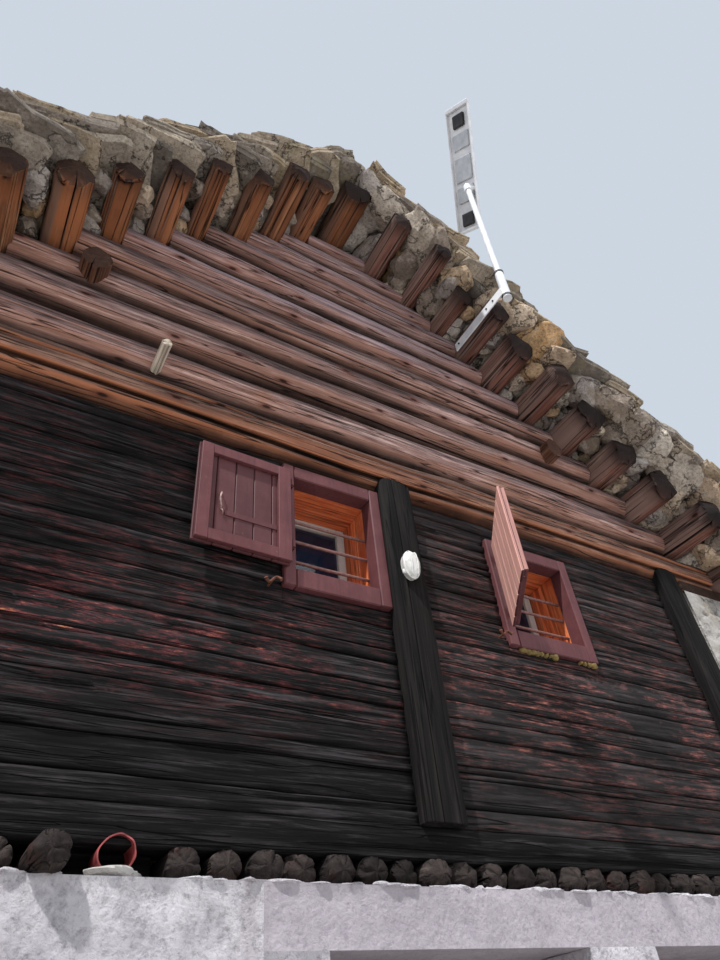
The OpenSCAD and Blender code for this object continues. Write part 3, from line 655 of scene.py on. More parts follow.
def stone(name, palette, lichen, scale=1.0, bump=0.8, wash=None, dirt=0.6):
    """Rough rock: palette runs from dark to pale over the stones' tones."""
    s = Shader(name, 0.92, 0.15)
    tones = palette.split()
    s.body = s.ramp(s.value("tone"), *((i / (len(tones) - 1), c) for i, c in enumerate(tones)))
    mottle = s.noise(s.coords, 9 * scale, 9, 0.76)
    s.coat("564e47", mottle, (0.32, dirt), (0.55, 0.0))
    s.coat("d4caba", mottle, (0.52, 0.0), (0.68, 0.5))
    grains = s.noise(s.coords, 60 * scale, 5, 0.75)
    s.coat("4c443e", grains, (0.35, 0.6), (0.52, 0.0))
    s.coat(lichen, s.noise(s.coords, 4.2 * scale, 7, 0.75), (0.55, 0.0), (0.62, 0.55))
    cracks = s.crease(s.noise(s.coords, 3.6 * scale, 6, 0.62))
    cracks = s.ramp(cracks, (0.0, 0.8), (0.006, 0.5), (0.014, 0.0))
    s.coat("342d29", cracks)
    if wash:
        s.coat(wash, s.noise(s.coords, 1.6, 8, 0.75), (0.36, 0.0), (0.54, 0.85))
    cavity = s.ramp(s.cells(s.coords, 16 * scale), (0.0, 0.0), (0.6, 1.0))
    height = s.plus(s.times(mottle, 1.3), s.plus(s.times(grains, 0.45), s.times(cavity, 0.25)))
    return s.finish(s.math("SUBTRACT", height, s.times(cracks, 0.6)), bump, 0.022)


def plaster(name, base, shade, coarse, bump):
    """Render with clouds, drips, grit and lumps; coarse is the scale of its grit."""
    s = Shader(name, 0.9, 0.2)
    s.body = base
    s.coat(shade, s.noise(s.coords, 2.2, 7, 0.65), (0.38, 0.0), (0.64, 0.8))
    s.coat("a09492", s.noise(s.stretch((1.0, 1.0, 0.16)), 5, 5, 0.7), (0.56, 0.0), (0.72, 0.4))
    grit = s.noise(s.coords, coarse, 9, 0.78)
    lumps = s.noise(s.coords, coarse * 0.3, 6, 0.66)
    s.coat("8a828a", grit, (0.34, 0.7), (0.5, 0.0))
    s.coat("9c949c", lumps, (0.34, 0.45), (0.5, 0.0))
    pits = s.ramp(s.cells(s.coords, coarse * 0.6), (0.0, 0.0), (0.35, 1.0))
    return s.finish(s.plus(s.times(lumps, 2.2), s.plus(grit, s.times(pits, 0.4))), bump, 0.027)


def painted(name, base, faded, sunny=None):
    """Painted wood: the grain shows faintly and the paint is worn in places. sunny is painted sunlight, partly
    bleached paint, on the faces that look to the left."""
    s = Shader(name, 0.62, 0.3)
    fibre = s.noise(s.stretch((1, 1, 0.06)), 55, 5, 0.65)
    s.body = base
    s.coat(faded, s.noise(s.coords, 6, 6, 0.7), (0.42, 0.0), (0.7, 0.75))
    s.shade((0.0, 0.6), (0.6, 1.0), (1.0, 1.15))
    if sunny:
        # Painted sunlight: the faces that look to the left, towards the sun, turn pale
        s.coat(sunny, s.times(s.facing(0), -1), (0.45, 0.0), (0.7, 0.9))
    s.coat(darker(base, 0.45), fibre, (0.3, 0.4), (0.5, 0.0))
    chips = s.noise(s.coords, 90, 3, 0.6)
    s.coat("aa8c82", chips, (0.7, 0.0), (0.76, 0.7))
    return s.finish(s.plus(fibre, s.times(chips, 0.3)), 0.35, 0.003)


def plain(name, base, other, rough=0.5, metal=0.0, bump=0.1, scale=30.0):
    """Small-scale variation between two close colours."""
    s = Shader(name, rough, 0.4)
    s.main.inputs["Metallic"].default_value = metal
    field = s.noise(s.coords, scale, 5, 0.6)
    s.body = base
    s.coat(other, field, (0.4, 0.0), (0.65, 1.0))
    return s.finish(field, bump, 0.003)


def glass(name):
    s = Shader(name, 0.06, 0.5)
    s.main.inputs["Alpha"].default_value = 0.55
    s.material.surface_render_method = "BLENDED"
    field = s.noise(s.coords, 3.0, 2, 0.5)
    # The blue patches over the dark glass are a painted reflection
    s.body = s.mix(field, "161c26", "304060")
    return s.finish(field, 0.05, 0.002)


# Colours of wood: dark, middle and light fibres, and patches
# The under tints below paint bounce light and shade on downward faces; the top tints are partly soot and weathering,
# partly painted shade
LOGS = wood("gable_log_wood", "x", "463230 967772 d2b6b2 9c7262", patch_at=0.6, fine=52.0, top="80747c",
            under="8c6252", knots=0.9)
SOOTY_LOG = wood("sooty_log_wood", "x", "342624 92736d dabaae 966a58", patch_at=0.58, fine=52.0, top="302b2e",
                 under="986a56", knots=0.9)
FOOT_LOG = wood("foot_log_wood", "x", "382822 8e6858 d2a48c 745246", fine=48.0, top="342c2c", under="b8704a",
                knots=0.9)
PURLINS = wood("purlin_wood", "y", "281812 7e5640 d6a078 a6643e", fine=30.0, under="9e6240", left="94786a",
               end="3e2d26", knots=0.85)
RIGHT_PURLINS = wood("right_purlin_wood", "y", "261b18 7a5c52 ceb0a0 824e40", fine=30.0, under="7a5044",
                     left="846c64", end="3a2c27", knots=0.85)
STUBS = wood("stub_wood", "y", "34221b 7a503e a47860 604034", patch_at=0.6, fine=34.0, end="5c4034")
BLACK = wood("sun_black_wood", "x", "050505 181616 464243 763c3e", crack=1.0, rough=0.92, fine=44.0,
             streaks=((2.4, 0.0), (2.56, 0.3), (2.7, 1.0), (2.86, 0.9), (3.0, 0.5), (3.4, 0.4), (3.7, 0.3)))
# The right bay's paler colours are partly its stronger red streaks and partly a painted sheen of reflected light
PALER_BLACK = wood("sun_black_wood_right", "x", "0e0d0d 262323 4e4848 8c5652", patch_at=0.5, crack=0.9,
                   rough=0.92, fine=34.0,
                   streaks=((2.3, 0.3), (2.56, 0.6), (2.74, 1.0), (2.9, 0.9), (3.1, 0.6), (3.6, 0.3)))
BLACK_POST = wood("sun_black_post", "z", "0a0808 181514 2e2927 281c18", patch_at=0.66, crack=0.9, rough=0.88,
                  fine=34.0)
POLES = wood("pole_wood", "y", "141110 322b29 60544e 543028", patch_at=0.6, crack=0.9, end="423936")
PALE = wood("pale_wood", "y", "807062 ccbcaa ecdecc a48e7a", patch_at=0.62, crack=0.6, bump=0.6)
BOARDS = wood("inner_boards", "x", "6e4a2a a87a4e c89e6c 96643c", patch_at=0.62, crack=0.6, bump=0.6)
# The varnished boards' colours are brightened beyond their own to paint bounce light in the deep reveals
VARNISH = wood("varnished_boards", "xz", "964228 ec804e fab07c ce5c3c", patch_at=0.6, crack=0.7, rough=0.45,
               bump=0.4)
ROOF_STONE = stone("roof_stone", "685f58 968a7e b8aa9a bea88c aca29a", "908468", dirt=0.5)
FIELD_STONE = stone("field_stone", "76665c b8a696 e6d8c8 d4a876 cec2b8 a0928c", "928068", bump=1.0)
WALL_STONE = stone("wall_stone", "605850 847a6e a09484 b0a698", "70685a", scale=0.9, wash="cecac6")
RENDER = plaster("rough_render", "f6f0f4", "e2dae1", coarse=40.0, bump=1.0)
# The concrete's colours are partly its own grey and partly darkened to paint shade on the lintel
CONCRETE = plaster("smooth_concrete", "bab1b7", "a29aa0", coarse=60.0, bump=0.45)
PAINT = painted("brown_paint", "5c3133", "714345")
# Paint whose left-facing faces carry painted sunlight
SUNNY_PAINT = painted("paint_with_painted_sunlight", "5c3133", "714345", sunny="ecb2a4")
WHITE_PAINT = painted("white_paint", "d6d4ce", "bcb8b0")
FOAM = plain("old_foam", "846c3a", "605232", rough=0.9, bump=0.5, scale=40.0)
HANDLE = plain("worn_handle", "a88e86", "785650", bump=0.2, scale=60.0)
IRON = plain("brown_iron", "6e4a46", "8c665e", rough=0.6, bump=0.3, scale=60.0)
RUST = plain("rusty_iron", "70422e", "462a22", rough=0.8, metal=0.2, bump=0.6, scale=90.0)
WHITE_METAL = plain("white_metal", "e2e2e4", "d0d0d4", rough=0.45, bump=0.05, scale=12.0)
GREY_METAL = plain("grey_metal", "babcc0", "a8aab0", scale=20.0)
DARK_METAL = plain("dark_metal", "282628", "3a383a", metal=0.3)
PIPE = plain("red_pipe", "9e4a4a", "803434", bump=0.2, scale=20.0)
LAMP_WHITE = plain("lamp_white", "dedcd8", "c4c0ba", rough=0.35, bump=0.15, scale=40.0)
GLASS = glass("window_glass")


# Gable logs
def joint_wave(k, x):
    """How far the joint under log k strays from its line; the foot log's bed and the ridge seat are straight."""
    return 0.01 * wave(x, 60 + k, 1.2) if 0 <= k <= LAST_LOG else 0.0 * x


def gable(side, name, node, detail):
    """Front gable for side -1 and back gable for side 1: foot log, sooty lower logs whose dark upper faces are partly
    painted shade, and weathered upper logs.
    """
    soups = Soup(), Soup(), Soup()
    for k in range(-1, LAST_LOG + 1):
        def low(x):
            return under(k, x) + joint_wave(k, x) + LOG_GAP

        def high(x):
            return over(k, x) + joint_wave(k + 1, x) - LOG_GAP

        rng = np.random.default_rng(100 + 7 * k + side)
        cracks = [math.pi + u for u in rng.uniform(-0.75, 0.9, 2)] if detail else []
        if k < 0:
            cracks = [math.pi - 0.16, math.pi + 0.55]
        timber(soups[0 if k < 0 else 1 if k < SOOTY_LOGS else 2], "x",
               (seat_x(k, -1) + seat_r(k, -1) * 0.93, seat_x(k, 1) - seat_r(k, 1) * 0.93),
               (side * -LOG_AXIS_Y, lambda x: (low(x) + high(x)) / 2),
               round_outline(0.5 * math.hypot(log_top(k) - log_bottom(k), LOG_SEAT), 0.03, rng.uniform(0, 3)),
               40 + 11 * k + side * 5, step=0.045 if detail else 0.16, columns=48 if detail else 24,
               cracks=[c if side < 0 else math.pi - c for c in cracks],
               crack=(0.035, 0.03, 0) if k >= 0 else (0.11, 0.05, 0.8), wobble=0.011, grain=0.002,
               sag=0.008, clip=(-9, 9, low, high), tone=rng.uniform(0.2, 0.9), joint=0.95)
    for soup, label, material in zip(soups, ("_foot", "_low", ""), (FOOT_LOG, SOOTY_LOG, LOGS)):
        soup.build(name + label, material, (node,) if not label else (), "round_logs")


# Purlins
def purlins(side, name, node, material):
    soup = Soup()
    for k in range(-1, LAST_LOG + 1):
        draw = np.random.default_rng(300 + 13 * k + side).uniform
        flats = [(-math.pi / 2 + draw(-0.25, 0.25), draw(0.86, 0.93)), (0.1 + draw(-0.2, 0.2), draw(0.82, 0.93)),
                 (math.pi + draw(-0.2, 0.2), draw(0.82, 0.93)), (-math.pi / 2 + draw(0.7, 1.0), 0.92),
                 (-math.pi / 2 - draw(0.7, 1.0), 0.94)]
        end = FRONT_Y - PURLIN_OVERHANG * REACH[side][k + 1]
        timber(soup, "y", (end, -end), (seat_x(k, side), seat_z(k, side)),
               hewn_outline(seat_r(k, side) * (1.1 if side < 0 else 1.05), flats), 500 + 9 * k + side,
               step=0.09, columns=38,
               cracks=[-math.pi / 2 + draw(-0.7, 0.7), math.pi + draw(-0.3, 0.8), draw(0, 6)],
               crack=(0.06, 0.03, 0), wobble=0.007, grain=0.0022, sag=0.004,
               ends=(facets(700 + k * 3 + side, 0.06), facets(900 + k * 3 + side, 0.05)),
               tone=draw(0.25, 0.95), char=(draw(0.45, 1.0), 0.5))
    soup.build(name, material, (node,), "purlin_wood")


def ridge_purlin():
    soup = Soup()
    timber(soup, "y", (FRONT_Y - PURLIN_OVERHANG, PURLIN_OVERHANG - FRONT_Y), (0, RIDGE_SEAT + RIDGE_R),
           hewn_outline(RIDGE_R * 1.02, [(-math.pi / 2, 0.95)]), 611, step=0.11, columns=34,
           cracks=[-1.2], crack=(0.07, 0.03, 0), ends=(facets(71, 0.05), facets(72, 0.05)), tone=0.15,
           char=(0.9, 0.5))
    soup.build("ridge_purlin_timber", PURLINS, ("ridge_purlin",), "purlin_wood")


def beam_ends():
    soup = Soup()
    for i, x in enumerate((-1.447, 1.48)):
        r = 0.069
        timber(soup, "y", (FRONT_Y - 0.13, FRONT_Y + 0.3), (x, under(2, x) + 0.02 + r),
               hewn_outline(r * 1.03, [(2.4, 0.9), (-0.4, 0.92), (-2.2, 0.93)]), 77 + i, columns=34,
               cracks=[-1.9 + i, 2.6], crack=(0.06, 0.02, 0), ends=(facets(21 + i, 0.03), None),
               tone=0.35 + 0.3 * i, char=(0.35, 0))
    soup.build("beam_end_timbers", STUBS, ("cross_beam_ends",), "purlin_wood")
    soup = Soup()
    x = -1.068
    timber(soup, "y", (FRONT_Y - 0.185, FRONT_Y + 0.09), (x, under(0, x) + 0.016 + 0.029),
           hewn_outline(0.024, [(0.3, 0.8), (2.2, 0.85), (-1.9, 0.8)]), 91, step=0.03, columns=22,
           cracks=[-1.0, 3.3], crack=(0.12, 0.008, 0), wobble=0.003, sag=0.004,
           ends=(facets(5, 0.05), None), tone=0.75)
    soup.build("peg_timber", PALE, ("wooden_peg",), "pale_wood")


# Roof stones
def slope_point(side, s, y, t):
    """Point on a slope: s down from the ridge, y along it, t square to it."""
    x = s * COS + t * SIN
    return np.array([side * x, y, ROOF_APEX - s * SIN + t * COS])


def slope_turn(side, tilt, yaw, roll):
    """Matrix that lays a slab on a slope, its length down the slope, its lower end raised by tilt."""
    lay = rotation(y=PITCH - tilt) @ rotation(x=roll) @ rotation(z=yaw)
    return np.diag([-1.0, 1, 1]) @ lay if side < 0 else lay


def swing(degrees):
    """Even-looking number from -1 to 1 for whole multiples of an angle."""
    return math.sin(math.radians(degrees))


def roof_side(side, name, node):
    """Courses of large split stones, each lying on the one below and raised towards its lower edge."""
    rng = np.random.default_rng(41 + side)
    draw = rng.uniform
    soup = Soup()
    tilt = math.atan(SLAB_STEP / SLAB_ROW)
    for i in range(1, SLAB_ROWS):
        last = SLAB_COUNT + i % 2 - 1
        for j in range(last + 1):
            y0, y1 = (VERGE_Y + (j + e - (i % 2) / 2) * SLAB_W for e in (0, 1))
            y0 = max(y0, VERGE_Y + SLAB_PLAY * swing(83 * i) ** 2)
            y1 = min(y1, -VERGE_Y - SLAB_PLAY * swing(47 * i) ** 2)
            low = (i + 1) * SLAB_ROW + SLAB_PLAY * (swing(59 * i + 211 * j) - 1)
            # The outer slabs are split in two thinner and shorter ones
            outer = j in (0, last)
            for part in range(2 if outer else 1):
                thick, length = draw(0.05, 0.08), SLAB_ROW + draw(0.12, 0.2)
                lean, foot = tilt + math.radians(draw(-2, 3)), low
                if outer:
                    thick, length, lean = draw(0.03, 0.05), length * 0.72, lean + draw(0.05, 0.2)
                    foot = low - part * 0.5 * SLAB_ROW
                lift = ROOF_T + SLAB_PLAY * swing(217 * i + 137 * (j + part))
                middle = slope_point(side, foot - 0.5 * length * math.cos(lean), (y0 + y1) / 2,
                                     lift - 0.5 * length * math.sin(lean) - 0.5 * thick)
                slab(soup, rng, (length, (y1 - y0) * draw(0.97, 1.05), thick),
                     slope_turn(side, lean, draw(-0.09, 0.09), draw(-0.05, 0.05)), middle,
                     3 if j == 0 else 2, draw(0.5, 1.0))
    soup.build(name, ROOF_STONE, (node,), "roof_stone", sharp=32)


def verge_leaves(soup, rng, side, end):
    """Steeply lying slabs that hang over the purlin ends, overlapping like scales."""
    draw = rng.uniform
    s = 0.16
    while s < SLOPE_LEN - 0.22:
        for row in range(3):
            length, lean, thick, depth = draw(0.3, 0.46), draw(0.35, 0.72), draw(0.045, 0.075), draw(0.24, 0.42)
            rise = 0.5 * length * math.sin(lean)
            y = end * (-VERGE_Y - 0.5 * depth - 0.19 * row + draw(-0.07, 0.005))
            t = min(rise + draw(-0.015, 0.03), ROOF_T - rise)
            slab(soup, rng, (length, depth, thick), slope_turn(side, lean, draw(-0.45, 0.45), draw(-0.22, 0.22)),
                 slope_point(side, s + draw(-0.05, 0.05), y, t), 3, 0.9)
        s += draw(0.13, 0.2)


def verge_rocks(soup, rng, side, end):
    """Chunky field stones bedded on and between the purlin ends."""
    draw = rng.uniform
    s = 0.14
    while s < SLOPE_LEN - 0.14:
        for row in range(2):
            size = np.array([draw(0.24, 0.38), draw(0.28, 0.42), draw(0.17, 0.23)])
            y = end * (-VERGE_Y - 0.5 * size[1] - 0.26 * row + draw(-0.06, 0.01))
            boulder(soup, rng, size, slope_turn(side, draw(-0.3, 0.4), draw(-0.6, 0.6), draw(-0.3, 0.3)),
                    slope_point(side, s + draw(-0.05, 0.05), y, draw(0.03, 0.075)), 28 if end < 0 else 14)
        s += draw(0.19, 0.29)


def carrier_slabs():
    """Stones between the purlins and the top course, which show at both verges."""
    leaves, rocks = Soup(), Soup()
    rng = np.random.default_rng(77)
    for end in (-1, 1):
        verge_leaves(leaves, rng, -1, end)
        verge_rocks(rocks, rng, 1, end)
    leaves.build("verge_leaves", ROOF_STONE, (), "roof_stone", sharp=38)
    rocks.build("verge_rocks", FIELD_STONE, (), "roof_stone", sharp=18)


def roof_bed():
    """Packing between the slabs, which closes the roof."""
    soup = Soup()
    rows, cols = 40, 60
    for side in (-1, 1):
        sheets = []
        for t in (0.07, 0.1):
            grid, quads = sheet_grid(np.linspace(0.0, SLOPE_LEN - 0.12, rows),
                                     np.linspace(VERGE_Y + 0.12, -VERGE_Y - 0.12, cols),
                                     lambda s, y: np.moveaxis(slope_point(side, s, y, t), 0, -1))
            grid[:, 2] += 0.012 * fractal(grid * 4, 2, 5)
            sheets.append(grid)
        rim = np.concatenate([np.arange(cols), np.arange(1, rows) * cols + cols - 1,
                              (rows - 1) * cols + np.arange(cols - 2, -1, -1), np.arange(rows - 2, 0, -1) * cols])
        after = np.roll(rim, -1)
        walls = np.stack([rim, rim + rows * cols, after + rows * cols, after], -1)
        soup.add(np.concatenate(sheets), [quads, quads[:, ::-1] + rows * cols, walls])
    soup.build("roof_packing", ROOF_STONE, (), "roof_stone")


def ridge_stones():
    """Twelve pairs of slabs that lean together over the ridge, with packing below them."""
    rng = np.random.default_rng(15)
    draw = rng.uniform
    soup = Soup()
    reach = 0.86 * SLOPE_LEN / SLAB_ROWS
    for j in range(SLAB_COUNT):
        y0 = VERGE_Y + j * SLAB_W
        for side in (-1, 1):
            thick = 0.06 + 0.3 * SLAB_PLAY * swing(137 * j)
            length = reach * (1 + 0.1 * swing(111 * j)) + 0.09
            centre = slope_point(side, length / 2 - 0.07, y0 + 0.5 * SLAB_W + draw(-0.01, 0.01),
                                 ROOF_T - SLAB_STEP + thick / 2 + 0.004 * side)
            slab(soup, rng, (length, SLAB_W * draw(0.97, 1.05), thick),
                 slope_turn(side, draw(0.06, 0.12), draw(-0.06, 0.06), 0), centre, 3, 0.6)
        brick(soup, (-0.07, max(y0, VERGE_Y + 0.06), ROOF_APEX + 0.02),
              (0.07, min(y0 + SLAB_W, -VERGE_Y - 0.06), ROOF_APEX + 0.17), 0.03, 0.3)
    soup.build("ridge_stones", ROOF_STONE, ("ridge_slabs",), "roof_stone", sharp=32)


def infill_stones():
    """Field stones wedged between the purlins over the walls."""
    rng = np.random.default_rng(8)
    draw = rng.uniform
    soup = Soup()
    for side, end, k in itertools.product((-1, 1), (-1, 1), range(-1, LAST_LOG)):
        x_in = side * seat_x(k + 1, side) + seat_r(k + 1, side)
        x_out = side * seat_x(k, side) - seat_r(k, side)
        gap = math.hypot(x_out - x_in, log_top(k) - log_bottom(k))
        for j in range(4):
            size = gap * (draw(0.55, 0.85) if side > 0 else draw(0.4, 0.6))
            y = end * (-FRONT_Y - 0.12 + 0.12 * j + draw(-0.04, 0.04))
            x = (x_in + x_out) / 2 + draw(0.0, 0.5) * (x_out - x_in)
            z = (ROOF_C - x * SIN) / COS - 0.5 * size * draw(0.6, 0.95)
            boulder(soup, rng, (size * draw(0.9, 1.2), size * draw(0.9, 1.5), size * 0.9),
                    rotation(*draw(-0.6, 0.6, 3)), np.array([side * x, y, z]), 20 if end < 0 else 12)
    soup.build("infill_stones", FIELD_STONE, (), "roof_stone", sharp=18)


# Hewn wall
def joint_line(j, x, seed):
    """Height of joint j of the hewn wall at x: wavy, and dropping a little to the right."""
    share = j / COURSES + (0.2 * swing(j * 217) / COURSES if 0 < j < COURSES else 0)
    z = SILL_TOP + (GABLE_Z - SILL_TOP) * share
    hold = math.sin(math.pi * min(max(share, 0), 1)) ** 0.5
    return z + hold * (0.011 * wave(x, seed + j, 0.9) - 0.014 * x)


def plank(soup, x0, x1, low, high, seed, step=0.035):
    """One hewn course: low and high give its edges along x."""
    rng = np.random.default_rng(seed)
    n = max(3, int((x1 - x0) / step))
    x = np.linspace(x0, x1, n)
    lo, hi = low(x), high(x)
    crack_at = rng.uniform(0.25, 0.75) + 0.12 * wave(x, seed + 3, 1.3)
    share = np.tile([0.0, 0.025, 0.06, 0.13, 0.28, 0.42, 0.58, 0.72, 0.87, 0.94, 0.975, 1.0], (n, 1))
    # The crack follows the nearest column that isn't near an edge
    row, bed = np.arange(n), np.abs(share - crack_at[:, None]).argmin(1)
    cracked = (bed > 2) & (bed < 9)
    share[row, bed] = np.where(cracked, crack_at, share[row, bed])
    z = lo[:, None] + (hi - lo)[:, None] * share
    edge = np.minimum(share, 1 - share) * (hi - lo)[:, None]
    tilt = rng.uniform(-0.005, 0.008)
    y = FRONT_Y + rng.uniform(-0.005, 0.006) + 0.011 * np.exp(-edge / 0.0026) + tilt * (share - 0.5)
    spot = np.stack([np.broadcast_to(x[:, None], z.shape), y, z], -1)
    y = y + 0.0022 * fractal(spot * (1.4, 1, 9), 2, seed) + 0.0025 * fractal(spot * (7, 1, 60), 2, seed + 1)
    y[row, bed] += 0.016 * smooth(0.0, 0.45, wave(x, seed + 9, 1.1)) * cracked
    ring_y = np.concatenate([y, np.full((n, 2), FRONT_Y + HEWN_T)], 1)
    ring_z = np.concatenate([z, hi[:, None], lo[:, None]], 1)
    soup.add(place("x", x[:, None], ring_y, ring_z), bar_faces(n, ring_y.shape[1]), rng.uniform(0, 1))


def hewn_bay(soup, x0, x1, window, seed, step=0.035):
    """Courses between two posts; those that meet the window are cut round it."""
    for j in range(COURSES):
        def low(x):
            z = joint_line(j, x, seed)
            return np.maximum(z, top) if cut == "above" else z + 0.0015

        def high(x):
            z = joint_line(j + 1, x, seed)
            return np.minimum(z, bottom) if cut == "below" else z - 0.0015

        parts, cut, ends = [(x0, x1, False)], None, np.array([x0, x1])
        if window:
            bottom, top = window[1], window[1] + window[3]
            if joint_line(j + 1, ends, seed).max() >= bottom and joint_line(j, ends, seed).min() <= top:
                left, right = window[0], window[0] + window[2]
                parts = [p for p in ((x0, left, False), (left, right, True), (right, x1, False))
                         if p[1] - p[0] > 0.004]
        for a, b, meets in parts:
            cut = None
            if meets:
                mid = np.array([0.5 * (a + b)])
                cut = "below" if 0.5 * (low(mid) + high(mid))[0] < window[1] + window[3] / 2 else "above"
                sides = np.array([a, b])
                if (high(sides) - low(sides)).min() < 0.008:
                    continue
            plank(soup, a, b, low, high, seed * 31 + j, step)


def hewn_walls():
    left, right, back = Soup(), Soup(), Soup()
    hewn_bay(left, -HALF_W + POST_W, CENTRE_POST_X, LEFT_WINDOW, 3)
    hewn_bay(right, CENTRE_POST_X + POST_W, HALF_W - POST_W, RIGHT_WINDOW, 5)
    hewn_bay(back, -HALF_W + POST_W, HALF_W - POST_W, None, 7, step=0.09)
    back.mirror()
    left.build("hewn_wall_left", BLACK, ("front_planks_left",), "dark_timber")
    right.build("hewn_wall_right", PALER_BLACK, ("front_planks_right",), "dark_timber")
    back.build("hewn_wall_back", BLACK, ("back_planks",), "dark_timber")


def posts():
    corners = (-HALF_W, HALF_W - POST_W)
    depth = POST_PROUD + HEWN_T
    for name, node, xs, side in (("centre_post_timber", "front_centre_post", (CENTRE_POST_X,), -1),
                                 ("corner_posts_timber", "front_corner_posts", corners, -1),
                                 ("rear_posts_timber", "back_posts", corners, 1)):
        soup = Soup()
        y = side * (-FRONT_Y + POST_PROUD - depth / 2)
        for i, x in enumerate(xs):
            timber(soup, "z", (SILL_TOP + 0.0005, POST_TOP - 0.001), (x + POST_W / 2, y),
                   box_outline(POST_W / 2, depth / 2, 0.16), 801 + i + side, columns=44,
                   cracks=[side * (math.pi / 2 + 0.25), side * (math.pi / 2 - 0.5)], crack=(0.03, 0.014, 0),
                   wobble=0.003, sag=0.0, clip=(x, x + POST_W, y - depth / 2, y + depth / 2), tone=0.5,
                   ends=(None, lambda a, b: 0.03 * (a / 0.09) ** 2 + 0.02 * np.clip(-b / 0.1, 0, 1)))
        soup.build(name, BLACK_POST, (node,), "dark_timber")


def sill_beams():
    for name, node, side in (("front_sill_timber", "front_sill_beam", 1), ("back_sill_timber", "back_sill_beam", -1)):
        soup = Soup()
        plank(soup, -HALF_W, HALF_W, lambda x: 0 * x + BASE_H + POLE_H, lambda x: 0 * x + SILL_TOP, 1201 + side)
        if side < 0:
            soup.mirror()
        soup.build(name, BLACK, (node,), "dark_timber")


# Floor poles and the drain pipe
def worn_end(seed):
    """Rough cut with a worn rim, radial splits and a slanting lower part."""
    chop = facets(seed, 0.014)

    def surface(a, b):
        out = np.hypot(a, b)
        splits = np.exp(-(np.sin(1.5 * np.arctan2(b, a) + seed) / 0.16) ** 2)
        return (chop(a, b) + 0.016 * (out / 0.05) ** 4 + 0.02 * np.clip(-b / 0.045 - 0.2, 0, 1)
                + 0.006 * fractal(np.stack([a * 70, b * 70, a * 0 + seed], -1), 3, seed)
                + 0.012 * splits * out / 0.04)
    return surface


def floor_poles():
    """Poles over the masonry ledge, with a place left for the drain pipe, and lumps of render below them."""
    soup, mortar = Soup(), Soup()
    rng = np.random.default_rng(12)
    draw = rng.uniform
    for i in range(POLE_COUNT):
        if i in (10, 11):
            continue
        reach = 0.06 if i == 9 else -0.03 + 0.014 * swing(137 * i)
        x = -HALF_W + (i + 0.5) * POLE_STEP
        d = min(POLE_STEP - 0.004, POLE_H + 0.018 + 0.012 * swing(77 * i))
        timber(soup, "y", (BASE_Y - reach, -BASE_Y + reach), (x, BASE_H + POLE_H / 2),
               hewn_outline(d / 2 * 1.02, [(draw(0, 6), 0.88), (draw(0, 6), 0.92),
                                           (-math.pi / 2 + draw(-0.8, 0.8), 0.9)]), 1300 + i,
               step=0.5, columns=44, cracks=list(draw(0, 6, 3)), crack=(0.07, 0.018, 0), wobble=0.003, sag=0.0,
               clip=(x - 0.49 * POLE_STEP, x + 0.49 * POLE_STEP, BASE_H + 0.0005, BASE_H + POLE_H - 0.0005),
               ends=(worn_end(60 + i), worn_end(160 + i)), tone=draw(0.1, 1),
               char=(0.8 if i in (4, 17, 18, 22) else 0.25, 0.1))
        for _ in range(2):
            boulder(mortar, rng, (draw(0.04, 0.15), 0.05, draw(0.012, 0.024)), rotation(z=draw(-0.2, 0.2)),
                    np.array([x + draw(-0.5, 0.5) * POLE_STEP, BASE_Y + 0.02, BASE_H + 0.001]), 16)
    soup.build("floor_pole_timbers", POLES, ("floor_poles",), "weathered_poles")
    mortar.build("ledge_lumps", RENDER, (), "stone_wall", sharp=60)


def drain_pipe():
    """Broken pipe stub whose left lip stands out of the torn rim, on a flat stone."""
    pipe, packing, bed = Soup(), Soup(), Soup()
    x, r = -HALF_W + 11 * POLE_STEP, 0.049
    z = BASE_H + 0.018 + r + 0.0002
    t = circle(72)
    lip = np.exp(-((t - 3.55) / 0.62) ** 2)
    front = BASE_Y + 0.043 - 0.026 * lip + 0.003 * np.sin(7 * t) + 0.03 * np.exp(-((t - 4.6) / 0.3) ** 2)
    rows = []
    for inset, back in ((0, 0), (0, 1), (0.004, 1), (0.004, 0)):
        reach = r - inset + (0 if back else 0.016 * lip)
        y = np.full_like(t, FRONT_Y + 0.139) if back else front
        rows.append(np.stack([x + reach * np.cos(t), y, z + reach * np.sin(t)], -1))
    pipe.add(np.concatenate(rows), sleeve_faces(len(t)))
    # A dark block of wall wood in the gap of the missing poles: painted shade behind the pipe
    brick(packing, (x - 0.12, FRONT_Y + 0.085, BASE_H + 0.001), (x + 0.12, FRONT_Y + 0.13, BASE_H + POLE_H - 0.001))
    boulder(bed, np.random.default_rng(4), (3.1 * r, 0.125, 0.036), rotation(z=0.2),
            np.array([x, BASE_Y + 0.06, BASE_H + 0.012]), 26, 0.95)
    pipe.build("broken_drain_pipe", PIPE, ("drain_pipe_stub",), "red_plastic", sharp=50)
    packing.build("shadow_block_behind_pipe", BLACK, (), "dark_timber")
    bed.build("pipe_bed", WALL_STONE, ("pipe_bed_stone",), "roof_stone", sharp=40)


# Masonry
def sheet_grid(u, v, point):
    """Grid of points point(u, v) and its quads."""
    gu, gv = np.meshgrid(u, v, indexing="ij")
    rows, cols = gu.shape
    verts = point(gu, gv).reshape(-1, 3)
    i, j = np.meshgrid(np.arange(rows - 1), np.arange(cols - 1), indexing="ij")
    q = (i * cols + j).ravel()
    return verts, np.stack([q, q + 1, q + cols + 1, q + cols], -1)


